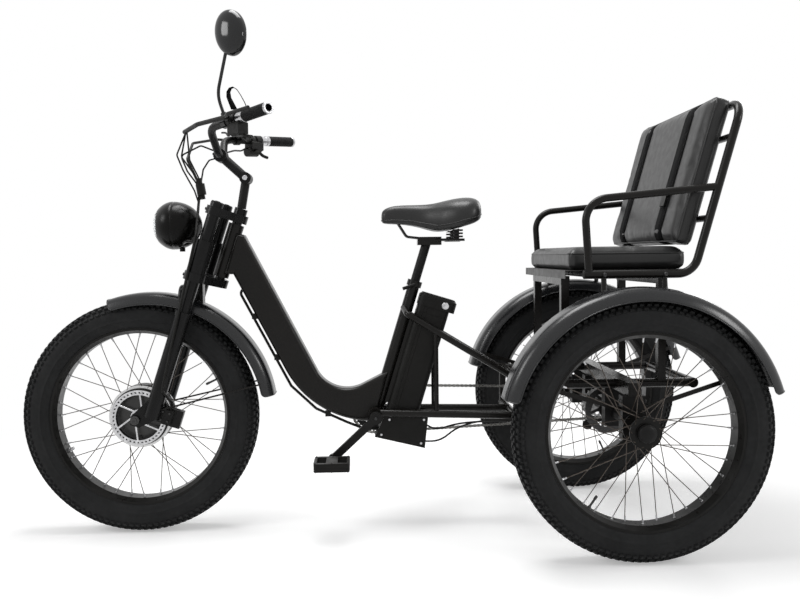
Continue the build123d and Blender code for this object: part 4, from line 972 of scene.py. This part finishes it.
graph = bpy.context.evaluated_depsgraph_get()
saddle_skin = BVHTree.FromObject(saddle, graph)
rim_points = []
for x, half, low, high in saddle_stations:
    rim_points.append(Vector((x, -half, low + 0.2 * (high - low))) / 1000)
rim_points += [Vector((p.x, -p.y, p.z)) for p in reversed(rim_points)]
nose_and_tail = []
for i, p in enumerate(rim_points):
    after = rim_points[(i + 1) % len(rim_points)]
    nose_and_tail += [p.lerp(after, k / 6) for k in range(6)]
saddle_welt = [saddle_skin.find_nearest(p)[0] for p in nose_and_tail]
seat(make_piece("saddle_welt", [tube(saddle_welt, 2.2, 8, True)], vinyl, 60.0), "frame", "black_vinyl")
coat_nodes(powder_coat, "saddle_frame")

# Passenger bench frame: bent steel tube with armrests, square legs and plastic end plugs.
# Powder-coated like the main frame; cap screws hold the rails to their hangers.
coat_nodes(powder_coat, "bench_frame", "armrests", "bench_legs")
plug_profile = [(0.0, -6.0), (9.0, -6.0), (9.0, 0.0), (11.0, 0.2), (11.0, 2.0), (8.5, 3.6), (0.0, 4.2)]
rail_z = 745.0
plugs = []
for side in (-1, 1):
    plugs.append(lathe(plug_profile, 20, facing((545.0, side * 328.0, rail_z), (-1, 0, 0))))
seat(make_piece("rail_plugs", plugs, moulded, 50.0), "frame", "matte_plastic")
rail_screws = []
for side in (-1, 1):
    for x in hanger_xs:
        rail_screws.append(((x, side * 338.5, rail_z), (0, side, 0)))
fasten("rail_screws", screw, screw_steel, rail_screws, "frame", "dark_alloy", 1.25)

# Bench tray and back board: folded steel sheet, sprayed mid grey, with light rub marks.
# They are screwed to the cross bars from below and behind.
grey_sheet = mottled(
    "grey_painted_sheet",
    tone=(16.0, (0.022, 0.0215, 0.021), (0.04, 0.039, 0.038)),
    rough=(45.0, 0.38, 0.55),
)
coat_nodes(grey_sheet, "bench_panels")

# Passenger bench cushions: foam slabs in sewn black vinyl, one on the tray, one on the back board.
# Each starts as a smaller slab, is blown up against its own cover, and keeps its flat base.


def stuffed(name, place, size, corner, flat_axis, cap):
    # A rounded slab remeshed and swollen by pressure; no point moves further than the cap.
    spare = 0.0
    slab = bmesh.new()
    bmesh.ops.create_cube(slab, size=1.0)
    for v in slab.verts:
        v.co = Vector([at * (side + spare) for at, side in zip(v.co, size)])
    bmesh.ops.bevel(slab, geom=list(slab.edges), offset=corner, segments=3, affect="EDGES", profile=0.5)
    mesh = bpy.data.meshes.new(name)
    slab.to_mesh(mesh)
    slab.free()
    cushion = bpy.data.objects.new(name, mesh)
    stage_scene.collection.objects.link(cushion)
    voxels = cushion.modifiers.new("even_mesh", "REMESH")
    voxels.mode = "VOXEL"
    voxels.voxel_size = 0.006
    graph = bpy.context.evaluated_depsgraph_get()
    even = bpy.data.meshes.new_from_object(cushion.evaluated_get(graph))
    cushion.modifiers.clear()
    cushion.data = even
    bpy.data.meshes.remove(mesh)
    start = [v.co.copy() for v in even.vertices]
    fabric = cushion.modifiers.new("cover", "CLOTH")
    fabric.settings.use_pressure = True
    fabric.settings.uniform_pressure_force = 4.0
    fabric.settings.effector_weights.gravity = 0.0
    fabric.settings.quality = 5
    fabric.settings.tension_stiffness = 30.0
    fabric.settings.compression_stiffness = 30.0
    fabric.point_cache.frame_start = 1
    fabric.point_cache.frame_end = 20
    for step in range(1, 21):
        stage_scene.frame_set(step)
    graph = bpy.context.evaluated_depsgraph_get()
    blown = bpy.data.meshes.new_from_object(cushion.evaluated_get(graph))
    cushion.modifiers.clear()
    for i, v in enumerate(blown.vertices):
        move = v.co - start[i]
        if move.length > cap:
            move = move * (cap / move.length)
        v.co = start[i] + move
    cushion.data = blown
    bpy.data.meshes.remove(even)
    stage_scene.frame_set(1)
    work = bmesh.new()
    work.from_mesh(cushion.data)
    all_ways = {"use_axis_x": True, "use_axis_y": True, "use_axis_z": True}
    bmesh.ops.smooth_vert(work, verts=work.verts, factor=0.5, **all_ways)
    work.to_mesh(cushion.data)
    work.free()
    axis, low = flat_axis
    for v in cushion.data.vertices:
        if (v.co[axis] - low) * (1 if low < 0 else -1) < 0:
            v.co[axis] = low
    cushion.data.transform(place)
    cushion.data.polygons.foreach_set("use_smooth", [True] * len(cushion.data.polygons))
    cushion.data.materials.clear()
    cushion.data.materials.append(vinyl)
    finer = cushion.modifiers.new("finer", "SUBSURF")
    finer.levels = 1
    finer.render_levels = 1
    return cushion


def skin_of(cushion):
    # The smoothed skin of a cushion, for rays to find.
    return BVHTree.FromObject(cushion, bpy.context.evaluated_depsgraph_get())


def welt(skin, place, axis, level, half, steps):
    # A loop on the skin at one level of the thin axis, found by rays from inside.
    loop = []
    turning = place.to_3x3()
    for i in range(steps):
        turn = 2 * math.pi * i / steps
        flat = (math.cos(turn) * half[0], math.sin(turn) * half[1])
        if axis == 2:
            start, way = Vector((0, 0, level)), Vector((flat[0], flat[1], 0))
        else:
            start, way = Vector((level, 0, 0)), Vector((0, flat[0], flat[1]))
        hit = skin.ray_cast(place @ start, (turning @ way).normalized())[0]
        if hit is not None:
            loop.append(hit)
    return loop


seat_place = Matrix.Translation((0.676, 0.0, 0.784))
seat_pad = stuffed("seat_pad", seat_place, (0.330, 0.552, 0.050), 0.014, (2, -0.0275), 0.010)
seat(seat_pad, "frame", "black_vinyl", "seat_cushion")
back_lean = math.atan2(0.127, 0.445)
back_foot = Matrix.Translation((0.832, 0.0, 0.745)) @ Matrix.Rotation(back_lean, 4, "Y")
back_place = back_foot @ Matrix.Translation((-0.037, 0.0, 0.270))
back_pad = stuffed("back_pad", back_place, (0.048, 0.600, 0.412), 0.014, (0, 0.0255), 0.010)
seat(back_pad, "frame", "black_vinyl", "back_cushion")
seat_skin = skin_of(seat_pad)
back_skin = skin_of(back_pad)
welt_loops = [welt(seat_skin, seat_place, 2, 0.016, (0.172, 0.283), 180)]
welt_loops += [welt(back_skin, back_place, 0, level, (0.300, 0.200), 180) for level in (-0.015, 0.017)]
welts = [tube(loop, 2.6, 8, True) for loop in welt_loops]
seat(make_piece("cushion_welts", welts, vinyl, 60.0), "frame", "black_vinyl")

# Two webbing straps hold the back cushion to its board: woven nylon, 56 mm wide, one with a buckle.
# They come over the top, run down the front and tuck in below.
webbing, tree, shader, place = start_finish("woven_webbing")
web_dark, web_pale = (0.0045, 0.0045, 0.0047), (0.0085, 0.0085, 0.0087)
two_tone(tree, cloudy(tree, place, 30.0), web_dark, web_pale, shader.inputs["Base Color"])
weave = tree.nodes.new("ShaderNodeTexWave")
weave.inputs["Scale"].default_value = 190.0
weave.bands_direction = "Z"
tree.links.new(place, weave.inputs["Vector"])
raised(tree, weave.outputs["Fac"], 0.5, 0.0004, shader)
between(tree, weave.outputs["Fac"], 0.75, 0.9, shader.inputs["Roughness"])
shader.inputs["Specular IOR Level"].default_value = 0.06
strap_half = 0.028
strap_off = 0.168
turning = back_place.to_3x3()
strap_shapes = []
for strap_y in (-strap_off, strap_off):
    rows = [(Vector((x, 0, -0.4)), Vector((0, 0, 1))) for x in (0.020, 0.006, -0.008, -0.020)]
    for i in range(19):
        up = -0.202 + 0.402 * i / 18
        rows.append((Vector((-0.2, 0, up)), Vector((1, 0, 0))))
    for x in (-0.020, -0.008, 0.008, 0.022):
        rows.append((Vector((x, 0, 0.4)), Vector((0, 0, -1))))
    lines = []
    for start, way in rows:
        line = []
        for share in (-1.0, 0.0, 1.0):
            shifted = start + Vector((0, strap_y + share * strap_half, 0))
            hit = back_skin.ray_cast(back_place @ shifted, turning @ way)[0]
            if hit is not None:
                line.append(hit - (turning @ way) * 0.0008)
        if len(line) == 3:
            lines.append(line)
    points = [p for line in lines for p in line]
    firsts = [3 * i + k for i in range(len(lines) - 1) for k in (0, 1)]
    quads = [(a, a + 1, a + 4, a + 3) for a in firsts]
    strap_shapes.append((points, quads))
straps = make_piece("back_straps", strap_shapes, webbing, 60.0)
thicken(straps, 0.0018, 0.0)
seat(straps, "frame", "black_vinyl")
buckle_from = back_place @ Vector((-0.2, -strap_off, -0.060))
buckle_hit = back_skin.ray_cast(buckle_from, turning @ Vector((1, 0, 0)))[0]
buckle_at = buckle_hit - (turning @ Vector((0.004, 0, 0)))
buckle_place = Matrix.Translation(buckle_at) @ Matrix.Rotation(back_lean, 4, "Y")
buckle_parts = [oblong(buckle_place, (7.0, 50.0, 24.0))]
buckle_parts.append(oblong(buckle_place @ Matrix.Translation((-0.002, 0.0, -0.026)), (6.0, 34.0, 30.0)))
seat(make_piece("strap_buckle", buckle_parts, moulded, 40.0), "frame", "matte_plastic")

# Fork: double-crown suspension fork, cast lowers, clamped crowns and stanchion sleeves.
# Gloss black; pinch screws close the crowns and a turned cap tops each leg.
fork_black = mottled(
    "fork_gloss_black",
    tone=(10.0, (0.0040, 0.0040, 0.0042), (0.0072, 0.0071, 0.0072)),
    rough=(55.0, 0.22, 0.34),
    face_on=0.2,
    coat=(0.1, 0.12),
)
coat_nodes(fork_black, "fork_crowns", "fork_legs")
steer_turn = Matrix.Translation((-0.425, 0.0, 0.822)) @ Matrix.Rotation(math.radians(18.3), 4, "Y")
steer_ahead = -(steer_turn.to_3x3() @ Vector((1, 0, 0)))
steer_up = steer_turn.to_3x3() @ Vector((0, 0, 1))


def on_steer(x, y, z):
    # A point beside the steering axis, in millimetres of the shared frame.
    return (steer_turn @ (Vector((x, y, z)) / 1000)) * 1000


leg_x = -57.0
leg_y = 80.0
crown_screws = []
leg_caps = []
leg_cap_profile = [
    (0.0, -2.0), (17.5, -2.0), (17.5, 2.0), (16.0, 4.0), (10.0, 4.4), (10.0, 3.0), (7.0, 3.0),
    (7.0, 5.6), (0.0, 6.0),
]
for side in (-1, 1):
    for level, reach_out in ((98.0, 24.5), (-98.0, 30.5)):
        for off in (-9.0, 9.0):
            screw_at = on_steer(leg_x - reach_out * 0.93, side * leg_y + off, level)
            crown_screws.append((screw_at, steer_ahead))
    leg_top = on_steer(leg_x, side * leg_y, 122.0)
    leg_caps.append(lathe(leg_cap_profile, 28, facing(leg_top, steer_up)))
fasten("crown_screws", screw, screw_steel, crown_screws, "steering", "dark_alloy")
seat(make_piece("fork_leg_caps", leg_caps, cast_black, 40.0), "steering", "dark_alloy")
caliper_screws = []
for x in (-32.0, -12.0):
    for z in (-520.0, -496.0):
        caliper_screws.append((on_steer(x, -72.0, z), (0, -1, 0)))
fasten("front_caliper_screws", screw, screw_steel, caliper_screws, "steering", "dark_alloy", 0.9)

# Stem and handlebar: forged folding stem with bright pivot bolts and face screws, and a bent bar.
# Both are anodised black; the brake levers and switch pods clamp beside the grips.
coat_nodes(moulded, "bar_controls", "bar_cables")
pivot = on_steer(-13.0, 0.0, 216.0)
bar_clamp = Vector((-441.0, 0.0, 1097.0))
arm_way = (bar_clamp - pivot).normalized()
plate_way = Vector((0, 1, 0)).cross(arm_way)
face_screws = []
for side in (-1, 1):
    for up in (-9.0, 9.0):
        spot = bar_clamp + arm_way * 16.5 + plate_way * up + Vector((0, side * 14.0, 0))
        face_screws.append((spot, arm_way))
fasten("stem_face_screws", screw, screw_steel, face_screws, "steering", "dark_alloy", 0.9)
pivot_bolts = [(pivot + Vector((0, side * 24.0, 0)), (0, side, 0)) for side in (-1, 1)]
fasten("stem_pivot_bolts", screw, bright, pivot_bolts, "steering", "alloy", 1.9)
put_away(screw)
control_shapes = []
pods = [
    (-1, (-356.0, -221.0, 1143.0), (44.0, 32.0, 40.0)),
    (1, (-371.0, 207.0, 1150.0), (46.0, 36.0, 34.0)),
]
for side, middle, size in pods:
    along_bar = Matrix.Rotation(side * math.atan2(0.7463, 0.6618), 4, "Z")
    control_shapes.append(oblong(Matrix.Translation(Vector(middle) / 1000) @ along_bar, size))
thumb_paths = [
    [(-348.0, -226.0, 1136.0), (-334.0, -230.0, 1122.0), (-318.0, -238.0, 1119.0)],
    [(-362.0, 214.0, 1142.0), (-350.0, 226.0, 1124.0), (-334.0, 242.0, 1119.0)],
    [
        (-372.0, -196.0, 1140.0), (-392.0, -168.0, 1130.0),
        (-404.0, -130.0, 1146.0), (-420.0, -100.0, 1150.0),
    ],
    [(-390.0, 190.0, 1146.0), (-404.0, 150.0, 1130.0), (-416.0, 90.0, 1124.0), (-436.0, 50.0, 1112.0)],
]
for path, wide in zip(thumb_paths, (5.0, 5.0, 2.6, 2.6)):
    control_shapes.append(tube(rounded(path, 14.0), wide, 10))
seat(make_piece("bar_switch_bodies", control_shapes, moulded, 40.0), "steering", "matte_plastic")
screen_glass = mottled(
    "display_glass",
    tone=(40.0, (0.004, 0.004, 0.005), (0.007, 0.007, 0.009)),
    rough=(60.0, 0.05, 0.10),
)
screen_place = Matrix.Translation((-0.402, 0.126, 1.180)) @ Matrix.Rotation(math.radians(38.0), 4, "Y")
screen_place = screen_place @ Matrix.Translation((0.0, 0.0, 0.0072))
screen = make_piece("display_screen", [oblong(screen_place, (46.0, 48.0, 1.6))], screen_glass, 40.0)
seat(screen, "steering", "gloss_plastic")

# Grips: ribbed rubber sleeves between a bright clamp collar and a bright end ring.
# The sleeves slide over the bar ends; a fabric loop hangs from the left one.
grip_rubber = mottled(
    "grip_rubber",
    tone=(30.0, (0.0062, 0.0064, 0.0068), (0.0115, 0.0118, 0.0122)),
    rough=(80.0, 0.5, 0.66),
    grain=(800.0, 2.0, 0.3, 0.0005),
    face_on=0.3,
)
grip_long = 118.0
sleeve = [(11.3, 10.0), (14.6, 10.0)]
for i in range(22):
    along = 12.0 + 4.4 * i
    sleeve += [(14.6, along), (15.7, along + 1.0), (15.7, along + 2.6), (14.6, along + 3.4)]
sleeve += [(14.8, 110.0), (11.3, 110.0)]
collar = [(11.2, -21.0), (14.2, -21.0), (14.6, -2.0), (16.0, -1.0), (16.0, 9.0), (15.2, 9.8), (11.2, 9.8)]
end_ring = [
    (8.6, 110.4), (15.4, 110.4), (16.0, 111.2), (16.0, 116.6), (14.8, 118.0), (9.4, 118.0), (8.6, 117.2),
]
sleeves = []
collars = []
for side in (-1, 1):
    bar_end = Vector((-262.0, side * 330.0, 1180.0))
    out_way = Vector((0.6618, side * 0.7463, 0.0704)).normalized()
    grip_place = facing(bar_end - out_way * grip_long, out_way)
    sleeves.append(lathe(sleeve, 28, grip_place, True))
    collars.append(lathe(collar, 28, grip_place, True))
    collars.append(lathe(end_ring, 28, grip_place, True))
seat(make_piece("ribbed_grips", sleeves, grip_rubber, 30.0), "steering", "grip_rubber", "grips")
seat(make_piece("grip_rings", collars, bright, 30.0), "steering", "alloy")
loop_path = [
    (-0.361, -0.252, 1.188), (-0.368, -0.251, 1.204), (-0.375, -0.250, 1.220), (-0.376, -0.249, 1.234),
    (-0.371, -0.248, 1.244), (-0.363, -0.247, 1.247), (-0.354, -0.246, 1.241), (-0.345, -0.245, 1.227),
    (-0.336, -0.244, 1.210), (-0.330, -0.243, 1.196), (-0.332, -0.243, 1.186),
]
loop_points = []
for i, (x, y, z) in enumerate(loop_path):
    turn = math.radians(24.0 + 66.0 * min(i / 6.0, 1.0))
    half_band = 0.0085 - 0.0035 * min(i / 6.0, 1.0)
    reach_x, reach_y = half_band * math.cos(turn), half_band * math.sin(turn)
    loop_points += [(x - reach_x, y - reach_y, z), (x + reach_x, y + reach_y, z)]
loop_quads = [(2 * i, 2 * i + 1, 2 * i + 3, 2 * i + 2) for i in range(len(loop_path) - 1)]
bar_loop = make_piece("bar_strap_loop", [(loop_points, loop_quads)], webbing, 60.0)
thicken(bar_loop, 0.0018, 0.0)
seat(bar_loop, "steering", "grip_rubber")

# Mirror: black moulded shell on a bent stalk, with silvered glass towards the rider.
# The shell is an oval bowl; the stalk clamps to the left bar.
gloss_shell = mottled(
    "gloss_black_moulding",
    tone=(7.0, (0.0030, 0.0028, 0.0025), (0.0058, 0.0055, 0.0050)),
    rough=(24.0, 0.20, 0.30),
    face_on=0.2,
)
mirror_moulding = mottled(
    "mirror_moulding",
    tone=(9.0, (0.0075, 0.0078, 0.0085), (0.0125, 0.0128, 0.0136)),
    rough=(24.0, 0.09, 0.14),
    face_on=0.7,
)
silvered = mottled(
    "silvered_glass",
    tone=(12.0, (0.82, 0.83, 0.84), (0.90, 0.91, 0.92)),
    rough=(20.0, 0.01, 0.03),
    metal=1.0,
)
mirror_back = Vector((-0.5, -0.86, 0.0)).normalized()
mirror_wide = Vector((mirror_back.y, -mirror_back.x, 0.0))
mirror_tall = mirror_back.cross(mirror_wide)
mirror_place = Matrix.Translation((-0.366, -0.230, 1.391)) @ Matrix((
    (mirror_wide.x, mirror_tall.x, mirror_back.x, 0.0),
    (mirror_wide.y, mirror_tall.y, mirror_back.y, 0.0),
    (mirror_wide.z, mirror_tall.z, mirror_back.z, 0.0),
    (0.0, 0.0, 0.0, 1.0),
)) @ Matrix.Rotation(math.radians(12.0), 4, "Z")
oval = Matrix.Diagonal((47.0 / 61.0, 1.0, 1.0, 1.0))
bowl = [(0.0, 1.0), (55.0, 1.0), (58.0, -1.6), (60.0, -1.9), (61.0, -0.5)]
for i in range(1, 15):
    depth = 31.6 * i / 14
    bowl.append((61.0 * math.sqrt(1.0 - (depth / 32.5) ** 3), depth))
bowl += [(8.0, 32.0), (0.0, 32.1)]
mirror_shell = lathe(bowl, 56, mirror_place @ oval)
mirror_foot = Vector((-393.6, -181.6, 1166.0))
stalk_path = [mirror_foot, (-413.6, -199.6, 1236.0), (-380.0, -232.0, 1356.0), (-372.0, -238.0, 1380.0)]
stalk = tube(rounded(stalk_path, 25.0), 4.5, 14)
bar_way = Vector((0.6618, -0.7463, 0.0704)).normalized()
clamp_profile = [(11.2, 0.0), (16.0, 0.0), (16.0, 20.0), (11.2, 20.0)]
base = lathe(clamp_profile, 28, facing(mirror_foot - bar_way * 10.0, bar_way), True)
nut_way = Vector((-20.0, -18.0, 70.0)).normalized()
nut_profile = [(0.0, 0.0), (8.0, 0.0), (8.0, 12.0), (6.0, 15.0), (0.0, 15.0)]
nut = lathe(nut_profile, 6, facing(mirror_foot + nut_way * 13.0, nut_way))
mirror_body = make_piece("mirror_shell", [mirror_shell, stalk, base, nut], mirror_moulding, 40.0)
seat(mirror_body, "steering", "gloss_plastic", "mirror")
pane = lathe([(0.0, -0.4), (45.0 / 47.0 * 59.0, -0.4), (58.2, 0.6), (0.0, 0.6)], 56, mirror_place @ oval)
seat(make_piece("mirror_pane", [pane], silvered, 40.0), "steering", "mirror_glass", "mirror_glass")

# Headlight: gloss black bowl with a stepped bezel, a silvered reflector and a domed clear lens.
# It stands on a bent rod bracket clamped to the fork sleeves.
clear_lens = mottled(
    "clear_lens",
    tone=(30.0, (0.84, 0.86, 0.87), (0.92, 0.94, 0.95)),
    rough=(60.0, 0.02, 0.06),
    clear=0.9,
)
light_place = facing((-640.0, 0.0, 896.0), (1, 0, 0))
light_bowl = [(45.0, 34.0), (46.5, 17.5), (49.5, 16.0)]
for i in range(1, 9):
    along = 16.0 + 41.0 * i / 8
    light_bowl.append((70.0 - 20.0 * ((57.0 - along) / 41.0) ** 2, along))
light_bowl += [(69.2, 58.4), (69.2, 60.4), (69.9, 61.6)]
for i in range(1, 17):
    along = 62.0 + 76.0 * i / 16
    light_bowl.append((70.0 * math.sqrt(1.0 - ((along - 57.0) / 83.0) ** 2), along))
light_bowl += [(9.0, 139.3), (0.0, 139.8)]
bowl_shape = lathe(light_bowl, 64, light_place)
bracket = []
bracket_x = -559.0
bracket_z = 840.0
for side in (-1, 1):
    root = on_steer(-81.0, side * 66.0, -2.0)
    arm_path = [root, (-536.0, side * 52.0, 852.0), (bracket_x, side * 20.0, bracket_z)]
    bracket.append(tube(rounded(arm_path, 12.0), 5.0, 12))
cross_rod = [(0.0, 0.0), (6.0, 0.0), (6.0, 52.0), (0.0, 52.0)]
bracket.append(lathe(cross_rod, 20, facing((bracket_x, -26.0, bracket_z), (0, 1, 0))))
pillar = [(0.0, 0.0), (7.5, 0.0), (8.0, 1.0), (8.0, 34.0), (0.0, 34.0)]
bracket.append(lathe(pillar, 20, facing((bracket_x, 0.0, 820.0), (0, 0, 1))))
rod_nut = [(0.0, 0.0), (8.5, 0.0), (8.5, 6.0), (7.0, 7.5), (0.0, 7.5)]
for side in (-1, 1):
    bracket.append(lathe(rod_nut, 6, facing((bracket_x, side * 26.0, bracket_z), (0, side, 0))))
lamp_bowl = make_piece("headlight_bowl", [bowl_shape] + bracket, gloss_shell, 38.0)
seat(lamp_bowl, "steering", "gloss_plastic", "headlight")
reflector = [
    (45.6, 22.0), (45.0, 25.0), (41.0, 33.0), (32.0, 41.0), (20.0, 46.0), (8.0, 48.0), (7.0, 36.0),
    (0.0, 35.0), (0.0, 52.0), (20.0, 50.0), (40.0, 38.0), (46.0, 27.0),
]
lamp_reflector = make_piece("headlight_reflector", [lathe(reflector, 56, light_place)], bright, 40.0)
seat(lamp_reflector, "steering", "alloy")
dome = [
    (0.0, 0.0), (10.0, 0.5), (20.0, 2.0), (30.0, 4.8), (38.0, 8.2), (44.0, 12.0), (48.6, 16.0),
    (46.4, 17.0), (42.0, 13.8), (36.0, 10.0), (28.0, 6.8), (18.0, 4.2), (9.0, 2.8), (0.0, 2.3),
]
lamp_dome = make_piece("headlight_dome", [lathe(dome, 56, light_place)], clear_lens, 60.0)
seat(lamp_dome, "steering", "lamp_glass", "headlight_lens")
